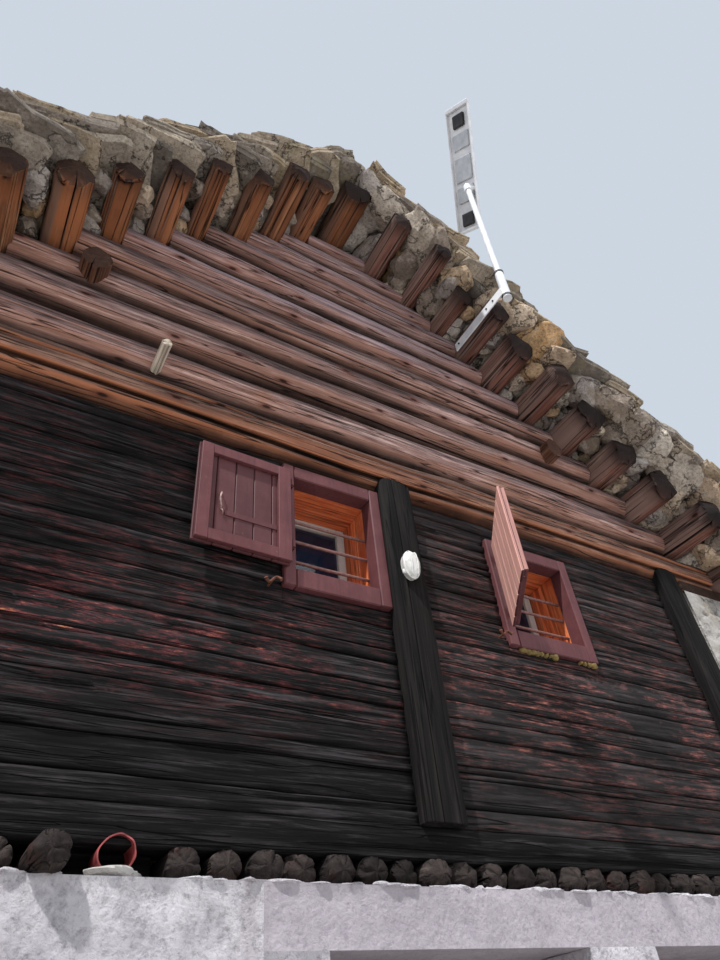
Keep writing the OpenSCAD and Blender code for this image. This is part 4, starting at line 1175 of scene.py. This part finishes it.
def rough_block(soup, low, high, amount, scale, step, shown, seed):
    """Block whose shown faces, each an axis and an end, are uneven; the relief fades out towards their edges."""
    low, high = np.array(low), np.array(high)
    axes = [np.linspace(a, b, max(2, int((b - a) / s) + 1)) for a, b, s in zip(low, high, step)]
    all_verts, all_quads, base = [], [], 0
    for axis, end in itertools.product(range(3), (0, 1)):
        across = [i for i in range(3) if i != axis]

        def point(u, v):
            p = np.empty(u.shape + (3,))
            p[..., across[0]], p[..., across[1]], p[..., axis] = u, v, (low, high)[end][axis]
            return p

        verts, quads = sheet_grid(axes[across[0]], axes[across[1]], point)
        if (axis == 1) != (end == 1):
            quads = quads[:, ::-1]
        all_quads.append(quads + base)
        all_verts.append(verts)
        base += len(verts)
    verts = np.concatenate(all_verts)
    inner = np.minimum(verts - low, high - verts)
    push = fractal(verts * scale, 4, seed) * amount
    bulge = amount * 1.4 * fractal(verts * scale * 0.25, 2, seed + 9)
    for axis, end in shown:
        at = np.abs(verts[:, axis] - (low, high)[end][axis]) < 1e-6
        fade = smooth(0, 0.012, inner[:, [i for i in range(3) if i != axis]].min(1))
        verts[at, axis] += ((1 if end else -1) * (push + bulge - 0.4 * amount) * fade)[at]
    soup.add(verts, all_quads)


def masonry():
    """Rendered walls round the doors, the lintel over them and the plain back wall."""
    back, corner = BASE_Y + WALL_T, OUTER_X - 0.003
    fine, front = (0.022, 0.1, 0.022), ((1, 0),)
    # Blocks as x from and to, z from and to, depth and scale of the relief
    for seed, (name, node, blocks) in enumerate((
            ("render_left", "front_base_left", ((-corner, LINTEL_X[0], 0, BASE_H, 0.01, 11),
                                                (LINTEL_X[0], DOOR_X[0], 0, DOOR_H, 0.008, 9))),
            ("render_pier", "front_base_pier", ((DOOR_X[1], DOOR_X[2], 0, DOOR_H, 0.007, 9),)),
            ("render_right", "front_base_right", ((LINTEL_X[1], corner, 0, BASE_H, 0.008, 9),
                                                  (DOOR_X[3], LINTEL_X[1], 0, DOOR_H, 0.008, 9)))), 1):
        soup = Soup()
        for x0, x1, z0, z1, amount, scale in blocks:
            rough_block(soup, (x0, BASE_Y, z0), (x1, back, z1), amount, scale, fine, front, seed)
        soup.build(name, RENDER, (node,), "plaster")
    soup = Soup()
    rough_block(soup, (LINTEL_X[0], BASE_Y, DOOR_H), (LINTEL_X[1], back, BASE_H), 0.0025, 14,
                (0.02, 0.1, 0.02), ((1, 0), (2, 0)), 4)
    soup.build("concrete_lintel", CONCRETE, ("front_lintel",), "concrete")
    soup = Soup()
    rough_block(soup, (-corner, -back, 0), (corner, -BASE_Y, BASE_H), 0.008, 9, (0.06, 0.1, 0.06), ((1, 1),), 5)
    soup.build("render_back", RENDER, ("back_base_wall",), "plaster")


def scatter(value):
    """Even-looking number from 0 to 1 for each large value."""
    return value - np.floor(value)


def rubble_relief(u, v, seed, size):
    """Height of rubble courses over a wall face and the tone of the stone at each point."""
    row = np.floor(v / size[1])
    best, second, owner = np.full(u.shape, 9.0), np.full(u.shape, 9.0), np.zeros(u.shape)
    for dr in (-1, 0, 1):
        r = row + dr
        start = np.floor(u / size[0] - 0.5 * (r % 2))
        for dc in (-1, 0, 1, 2):
            c = start + dc
            h = np.sin(c * 12.9898 + r * 78.233 + seed) * 43758.5453
            jitter_u = scatter(h) - 0.5
            jitter_v = scatter(np.sin(c * 39.425 + r * 11.135 + seed * 2) * 24634.6345) - 0.5
            cu = (c + 0.5 * (r % 2) + 0.5 + 0.55 * jitter_u) * size[0]
            cv = (r + 0.5 + 0.5 * jitter_v) * size[1]
            d = (((u - cu) / size[0]) ** 2 + ((v - cv) / size[1]) ** 2) ** 0.5
            near = d < best
            second = np.where(near, best, np.minimum(second, d))
            owner = np.where(near, scatter(h * 0.37), owner)
            best = np.where(near, d, best)
    return smooth(0.0, 0.22, second - best), owner


def stone_wall(side, name, node):
    """Rubble side wall with its stones standing out of the mortar."""
    soup = Soup()
    top, inner = GABLE_Z - 0.075, BASE_Y + WALL_T

    def face(u, v, point, normal, seed):
        gu, gv = np.meshgrid(u, v, indexing="ij")
        relief, owner = rubble_relief(gu, gv, seed, (0.3, 0.17))
        fade = smooth(0, 0.02, np.minimum(np.minimum(gu - u[0], u[-1] - gu), np.minimum(gv - v[0], v[-1] - gv)))
        spot = np.stack([gu, gv, gu * 0 + seed], -1)
        push = (0.022 * relief - 0.018 + 0.006 * fractal(spot * 11, 2, seed) * relief) * fade
        # The relief doesn't sink below the base walls, which end just inside this face
        over_base = (np.abs(gu) > -inner) & (gv < BASE_H)
        push = np.where(over_base, np.maximum(push, 0.004 * fade), push)
        verts, quads = sheet_grid(u, v, point)
        verts = verts + push.reshape(-1, 1) * np.array(normal)
        a, b, c = (verts[quads[:, i]] for i in range(3))
        if np.dot(np.cross(b - a, c - a).mean(0), normal) < 0:
            quads = quads[:, ::-1]
        soup.put(verts, [quads], (0.15 + 0.85 * owner * relief).ravel())

    face(np.arange(BASE_Y, -BASE_Y + 0.01, 0.03), np.linspace(0, top, 110),
         lambda u, v: np.stack([np.full_like(u, side * OUTER_X), u, v], -1), (side, 0, 0), 3 + side)
    for y, n in ((BASE_Y, -1), (-BASE_Y, 1)):
        face(np.linspace(HALF_W, OUTER_X, 22), np.linspace(BASE_H, top, 60),
             lambda u, v: np.stack([side * u, np.full_like(u, y), v], -1), (0, n, 0), 9 + side)
    x0, x1 = sorted((side * HALF_W, side * OUTER_X - side * 0.02))
    brick(soup, (x0, BASE_Y + 0.02, BASE_H), (x1, -BASE_Y - 0.02, top), 0.002, 0.4)
    brick(soup, (x0, inner, 0), (x1, -inner, BASE_H), 0.002, 0.4)
    soup.build(name, WALL_STONE, (node,), "stone_wall", sharp=60)


# Windows and shutters
def inside(w, side, top, bottom):
    return (w[0] + side, w[1] + bottom, w[2] - 2 * side, w[3] - top - bottom)


def ring_boards(soup, w, side, top, bottom, y0, y1, soften=0.004, seed=0):
    """Four boards round a box given as left, bottom, width and height."""
    x0, z0, x1, z1 = w[0], w[1], w[0] + w[2], w[1] + w[3]
    gap, step = 0.0004, 0.001
    for i, (low, high) in enumerate((
            ((x0, y0, z0), (x0 + side, y1, z1)), ((x1 - side, y0, z0), (x1, y1, z1)),
            ((x0 + side + gap, y0 + step, z0), (x1 - side - gap, y1, z0 + bottom)),
            ((x0 + side + gap, y0 + step, z1 - top), (x1 - side - gap, y1, z1)))):
        brick(soup, low, high, soften, 0.5, bow=0.0006, seed=seed + i)


def clear_opening(w):
    return inside(w, FRAME_SIDE, FRAME_TOP, FRAME_BOTTOM)


def hinge_line(w):
    opening = clear_opening(w)
    x = opening[0] - SHUTTER_LAP / 2 - HINGE_SIDE
    y = FRONT_Y - FRAME_PROUD - SHUTTER_T / 2 - 0.0025
    return x, y, [opening[1] + t * opening[3] for t in (0.16, 0.84)]


def windows():
    frames, reveals, sashes, panes, bars = Soup(), Soup(), Soup(), Soup(), Soup()
    y_front = FRONT_Y - FRAME_PROUD
    y_back = y_front + FRAME_DEPTH
    for n, w in enumerate((LEFT_WINDOW, RIGHT_WINDOW)):
        left, bottom, right, top = w[0], w[1], w[0] + w[2], w[1] + w[3]
        ring_boards(frames, w, FRAME_SIDE, FRAME_TOP, FRAME_BOTTOM, y_front, y_back, 0.005, seed=n * 9)
        x, y, heights = hinge_line(w)
        for z in heights:
            brick(frames, (x - 0.005, y, z - 0.008), (x + 0.005, y_front + 0.002, z), 0.001)
            tube(frames, [(x, y, z - 0.008), (x, y, z), (x, y, z + 0.036)], 0.0048, 12)
        hole = inside(w, FRAME_SIDE - REVEAL_STEP, FRAME_TOP - REVEAL_STEP, FRAME_BOTTOM - REVEAL_STEP)
        hole_right, hole_top = hole[0] + hole[2], hole[1] + hole[3]
        # Reveal boards stand upright at the sides, three deep, and lie flat above and below
        for x0, x1 in ((left, hole[0]), (hole_right, right)):
            for i, tone in enumerate((0.35, 0.8, 0.1)):
                y0, y1 = (y_back + (LINING_Y - y_back) * k / 3 for k in (i, i + 1))
                brick(reveals, (x0, y0, hole[1]), (x1, y1 - 0.0015, hole_top), 0.004, tone)
        brick(reveals, (left, y_back, bottom), (right, LINING_Y, hole[1] - 0.0005), 0.002, 0.3)
        brick(reveals, (left, y_back, hole_top + 0.0005), (right, LINING_Y, top), 0.002, 0.5)
        ring_boards(sashes, hole, SASH_W, SASH_W, SASH_W, LINING_Y - SASH_T, LINING_Y, seed=n + 50)
        pane = inside(hole, SASH_W, SASH_W, SASH_W)
        mid = LINING_Y - SASH_T / 2
        brick(panes, (pane[0], mid - 0.003, pane[1]), (pane[0] + pane[2], mid + 0.003, pane[1] + pane[3]), 0.0005)
        x, bottom, wide, high = clear_opening(w)
        y = y_back + 0.012
        for share in (0.2, 0.42, 0.64):
            z = bottom + high * share
            tube(bars, [(x - 0.008, y, z), (x + wide * 0.5, y, z - 0.002), (x + wide + 0.008, y, z)], 0.0075, 12)
    frames.build("window_frame_boards", PAINT, ("window_frames",), "painted_wood", sharp=40)
    reveals.build("window_reveal_boards", VARNISH, ("window_reveals",), "varnished_wood", sharp=40)
    sashes.build("window_sash_bars", WHITE_PAINT, ("window_sashes",), "white_paint", sharp=40)
    panes.build("window_glass_sheets", GLASS, ("window_panes",), "glass", sharp=30)
    bars.build("window_bars", IRON, (), "rusty_iron", sharp=50)


def shutter(w, angle, name, node, seed, paint):
    """Leaf turned about its hinge line: five upright boards outside, a framed recess inside."""
    soup, iron, handle = Soup(), Soup(), Soup()
    hx, hy, heights = hinge_line(w)
    opening = clear_opening(w)
    wide, tall = opening[2] + SHUTTER_LAP, opening[3] + SHUTTER_LAP
    z0 = opening[1] - SHUTTER_LAP / 2
    x0, x1 = HINGE_SIDE, HINGE_SIDE + wide
    outer, inner = -SHUTTER_T / 2, SHUTTER_T / 2
    floor = outer + 0.014
    pivot = np.array([hx, hy, 0])
    turn = rotation(z=-math.radians(angle))
    edge = 0.008

    def add(low, high, soften=0.002, tone=0.5):
        brick(soup, np.array(low) + (hx, hy, 0), np.array(high) + (hx, hy, 0), soften, tone, turn, pivot)

    # The boards' low tone, below the frame's, darkens the floor of the recess: painted shade
    count = 5
    for i in range(count):
        a, b = x0 + wide * i / count, x0 + wide * (i + 1) / count - (0.003 if i < count - 1 else 0)
        add((a, outer, z0 + 0.002 * math.sin(3 * i)), (b, floor, z0 + tall), 0.003,
            0.22 + 0.12 * math.sin(i * 2.3 + seed))
    free, low, high = x1 - edge, z0 + edge, z0 + tall - edge
    rail, bay = SHUTTER_RAIL - edge, x0 + SHUTTER_RAIL
    strap_z = z0 + 0.3 * tall
    for corner, far, soften, tone in (
            ((x0, floor, low), (bay, inner, high), 0.002, 0.6),
            ((free - rail, floor, low), (free, inner, high), 0.002, 0.7),
            ((bay, floor, low), (free - rail, inner - 0.0006, low + rail), 0.002, 0.65),
            ((bay, floor, high - rail), (free - rail, inner - 0.0006, high), 0.002, 0.55),
            ((bay, floor, strap_z), (x0 + 0.7 * wide, floor + 0.004, strap_z + 0.026), 0.0015, 0.35)):
        add(corner, far, soften, tone)
    t = circle(24)
    for z in heights:
        rows = [np.stack([hx + r * np.cos(t), hy + r * np.sin(t), np.full_like(t, level)], -1)
                for r, level in ((0.01, z), (0.01, z + 0.036), (0.0055, z + 0.036), (0.0055, z))]
        iron.add(np.concatenate(rows), sleeve_faces(len(t)), 0.5)
    # Curved handle with a small hook below it, in the recess
    grip_x, grip_z = x0 + 0.74 * wide, z0 + 0.36 * tall
    for path, thick in (([(0, 0), (0.012, 0.004), (0.017, 0.02), (0.018, 0.04), (0.017, 0.058), (0.012, 0.074),
                          (0, 0.078)], 0.004),
                        ([(0, -0.006), (0.008, -0.012), (0.01, -0.024), (0.004, -0.03)], 0.003)):
        grip = np.array([(grip_x + 0.009 * math.sin(40 * h), floor + d, grip_z + h) for d, h in path])
        tube(handle, grip @ turn.T + pivot, thick)
    soup.build(name, paint, (node,), "painted_wood", sharp=40)
    iron.build(name + "_iron", paint, (), "painted_wood", sharp=50)
    handle.build(name + "_handle", HANDLE, (), "rusty_iron", sharp=50)


def holdbacks():
    """Rusty turning catches with a hook at each end, under the shutters."""
    soup = Soup()
    t = np.linspace(-1, 1, 21)
    out = FRONT_Y - 0.044
    for x, z, lean in ((LEFT_WINDOW[0] - 0.06, LEFT_WINDOW[1] - 0.01, 0.5),
                       (RIGHT_WINDOW[0] - 0.045, RIGHT_WINDOW[1] + 0.04, -0.3)):
        tube(soup, [(x, FRONT_Y + 0.01, z), (x, FRONT_Y - 0.02, z), (x, out, z)], 0.005)
        path = np.stack([x + 0.034 * t, out - 0.008 * t ** 4, z + 0.012 * np.sin(3.3 * t) + 0.008 * lean * t], -1)
        tube(soup, path, 0.0055 + 0.003 * np.abs(t) ** 3)
    soup.build("shutter_catches", RUST, ("shutter_holdbacks",), "rusty_iron", sharp=50)


def sill_foam():
    """Remains of yellow foam under the right window."""
    soup = Soup()
    rng = np.random.default_rng(31)
    x0, x1, z = RIGHT_WINDOW[0] + 0.08, RIGHT_WINDOW[0] + RIGHT_WINDOW[2], RIGHT_WINDOW[1]
    for x in np.concatenate([np.linspace(x0, x0 + 0.2, 8), np.linspace(x1 - 0.12, x1 - 0.03, 4)]):
        size = rng.uniform(0.018, 0.034)
        boulder(soup, rng, (size * 1.6, 0.03, size), rotation(*rng.uniform(-0.4, 0.4, 3)),
                np.array([x, FRONT_Y - 0.008, z - 0.004 - 0.2 * size]), 12)
    soup.build("sill_foam", FOAM)


# Lamp
def lamp():
    """Oval bulkhead lamp with a ribbed rim and one ear left."""
    soup, cage = Soup(), Soup()
    x, y, z = CENTRE_POST_X + POST_W / 2, FRONT_Y - POST_PROUD, SILL_TOP + 1.084
    half_w, half_h, depth = 0.045, 0.076, 0.05
    t = circle(56)
    # Share of the outline and distance from the post
    profile = ((0.93, 0.0), (0.94, 0.014), (1.0, 0.017), (1.0, 0.027), (0.9, 0.029), (0.86, 0.037), (0.74, 0.045),
               (0.5, 0.049), (0.2, depth))
    rows = [np.stack([x + half_w * s * np.cos(t), np.full_like(t, y - d), z + half_h * s * np.sin(t)], -1)
            for s, d in profile]
    soup.add(np.concatenate(rows + [[[x, y, z], [x, y - depth, z]]]), tipped_faces(len(rows), len(t)))
    a = np.linspace(-0.5 * math.pi, 0.5 * math.pi, 17)
    for shift in (-0.36, 0.36):
        tube(cage, np.stack([np.full_like(a, x + shift * half_w), y - 0.027 - 0.026 * np.cos(a) ** 0.6,
                             z + 0.86 * half_h * np.sin(a)], -1), 0.0026, 8)
    brick(cage, (x - half_w - 0.004, y - 0.022, z - 0.052), (x - half_w + 0.012, y - 0.012, z - 0.03), 0.002)
    soup.build("oval_lamp", LAMP_WHITE, ("wall_lamp",), "lamp_white", sharp=60)
    cage.build("oval_lamp_cage", LAMP_WHITE, (), "lamp_white", sharp=60)


# Antenna
def antenna():
    """Panel like an open tray on a leaning mast, with the sleeve's wire twists and the arm's bolts."""
    for node in ("antenna_bracket", "antenna_mast"):
        dress(node, WHITE_METAL)
    shell, boxes, plates, wires = Soup(), Soup(), Soup(), Soup()
    mast_r, sleeve_r, sleeve_len, mast_len = 0.021, 0.03, 0.33, 1.356
    foot = np.array([seat_x(6, 1) - seat_r(6, 1) + 0.026, VERGE_Y - 0.035, seat_z(6, 1) - 0.104])
    lean = rotation(y=math.radians(2.5))
    top = foot + lean @ np.array([0, 0, sleeve_len + mast_len])
    turn = lean @ rotation(math.radians(37), math.radians(-28), math.radians(-4))
    mouth, depth, width, length, rim, skin, sheet = 0.06, 0.034, 0.242, 1.046, 0.016, 0.008, 0.006
    aside, up = 0.085, 0.2

    def add(target, low, high, soften=0.002):
        brick(target, np.array(low) + top, np.array(high) + top, soften, 0.5, turn, top)

    y0, y1, z0, z1 = aside - width / 2, aside + width / 2, up - length / 2, up + length / 2
    back = mouth + depth
    bed = back - sheet
    add(shell, (bed, y0, z0), (back, y1, z1))
    add(shell, (mouth, y0, z0), (bed, y0 + skin, z1))
    add(shell, (mouth, y1 - skin, z0), (bed, y1, z1))
    add(shell, (mouth, y0 + skin, z0), (bed, y1 - skin, z0 + rim))
    add(shell, (mouth - 0.003, y0 - 0.004, z1 - 0.03), (bed, y1 + 0.004, z1 + 0.004), 0.004)
    for share, high in ((0.3, 0.13), (0.5, 0.2), (0.72, 0.13)):
        centre = z0 + share * length
        add(plates, (mouth + 0.012, y0 + 0.035, centre - high / 2), (bed, y1 - 0.035, centre + high / 2), 0.004)
    for share in (0.1, 0.88):
        centre = z0 + share * length
        add(boxes, (mouth + 0.003, y0 + 0.06, centre - 0.055), (bed, y1 - 0.06, centre + 0.055), 0.016)
    tube(shell, [top + turn @ np.array([d, 0, 0]) for d in (0, 0.03, mouth + 0.02)], mast_r, 16)
    tube(shell, [top + lean @ np.array([0, 0, d]) for d in (-0.065, -0.02, 0.015)], sleeve_r, 20)
    loop_r = 0.0322
    for height in (0.012, 0.02, 0.029, sleeve_len - 0.012, sleeve_len - 0.02, sleeve_len - 0.03):
        loop = [(loop_r * math.cos(a), loop_r * math.sin(a), height + 0.002 * math.sin(a))
                for a in np.linspace(0, 2 * math.pi, 24)]
        tube(wires, [foot + lean @ np.array(p) for p in loop], 0.0016, 6)
    arm_x, bolt_z = foot[0] - 0.026, foot[2] + 0.07
    for y in (foot[1] + 0.09, foot[1] + 0.16, FRONT_Y - 0.1):
        tube(wires, [(arm_x + d, y, bolt_z) for d in (-0.014, -0.006, 0.004)], 0.007, 6)
    shell.build("antenna_panel_shell", WHITE_METAL, ("antenna_panel",), "white_metal", sharp=40)
    boxes.build("antenna_panel_boxes", DARK_METAL, (), "white_metal", sharp=40)
    plates.build("antenna_panel_plates", GREY_METAL, (), "white_metal", sharp=40)
    wires.build("antenna_fixings", DARK_METAL, (), "white_metal", sharp=40)


def dress(node, material):
    NODE[node].data.materials.clear()
    NODE[node].data.materials.append(material)


def link(name, data):
    """New object in the scene."""
    obj = bpy.data.objects.new(name, data)
    bpy.context.scene.collection.objects.link(obj)
    return obj


def stage():
    """Camera at the photograph's place, pale floor and soft light."""
    scene = bpy.context.scene
    scene.view_settings.view_transform = "Standard"
    # Columns of the camera's matrix: right, up, back and place
    columns = ((0.86455, -0.49511, -0.08615), (-0.27810, -0.61414, 0.73857), (-0.41858, -0.61457, -0.66865),
               (-1.424, -5.1, 1.55))
    camera = bpy.data.cameras.new("camera")
    camera.sensor_fit = "VERTICAL"
    camera.sensor_height = 36
    camera.lens = 25.5
    camera.clip_end = 200
    scene.camera = link("camera", camera)
    scene.camera.matrix_world = Matrix([[column[i] for column in columns] for i in range(3)] + [(0, 0, 0, 1)])
    floor_mesh = bpy.data.meshes.new("floor")
    reach = 150
    floor_mesh.from_pydata([(-reach, -reach, 0), (reach, -reach, 0), (reach, reach, 0), (-reach, reach, 0)], [],
                           [(0, 1, 2, 3)])
    floor_mesh.materials.append(plain("pale_floor", "b8b6b3", "b4b2af", rough=0.9, bump=0.02, scale=3.0))
    link("floor", floor_mesh)
    world = bpy.data.worlds.new("sky")
    scene.world = world
    world.use_nodes = True
    sky = world.node_tree.nodes["Background"]
    sky.inputs["Color"].default_value = srgb("d6e0ec")
    sky.inputs["Strength"].default_value = 0.9
    for name, energy, size, turn in (("sun", 4.6, 0.03, (33, 0, -61)), ("fill", 0.55, 0.6, (70, 0, 30))):
        light = bpy.data.lights.new(name, "SUN")
        light.energy = energy
        light.angle = size
        link(name, light).rotation_euler = [math.radians(a) for a in turn]


stage()
gable(-1, "gable_logs", "front_gable_logs", True)
gable(1, "rear_gable_logs", "back_gable_logs", False)
purlins(-1, "purlin_timbers_left", "purlins_left", PURLINS)
purlins(1, "purlin_timbers_right", "purlins_right", RIGHT_PURLINS)
ridge_purlin()
beam_ends()
roof_side(-1, "roof_stones_left", "roof_slabs_left")
roof_side(1, "roof_stones_right", "roof_slabs_right")
carrier_slabs()
roof_bed()
ridge_stones()
infill_stones()
hewn_walls()
posts()
sill_beams()
floor_poles()
drain_pipe()
masonry()
stone_wall(-1, "rubble_wall_left", "left_side_wall")
stone_wall(1, "rubble_wall_right", "right_side_wall")
windows()
shutter(LEFT_WINDOW, 178, "left_shutter_leaf", "left_shutter", 1, PAINT)
shutter(RIGHT_WINDOW, 125, "right_shutter_leaf", "right_shutter", 2, SUNNY_PAINT)
holdbacks()
sill_foam()
lamp()
antenna()
for name in ("upper_floor_boards", "front_inner_lining"):
    dress(name, BOARDS)
dress("side_wall_plates", PURLINS)
dress("ground_floor_slab", CONCRETE)
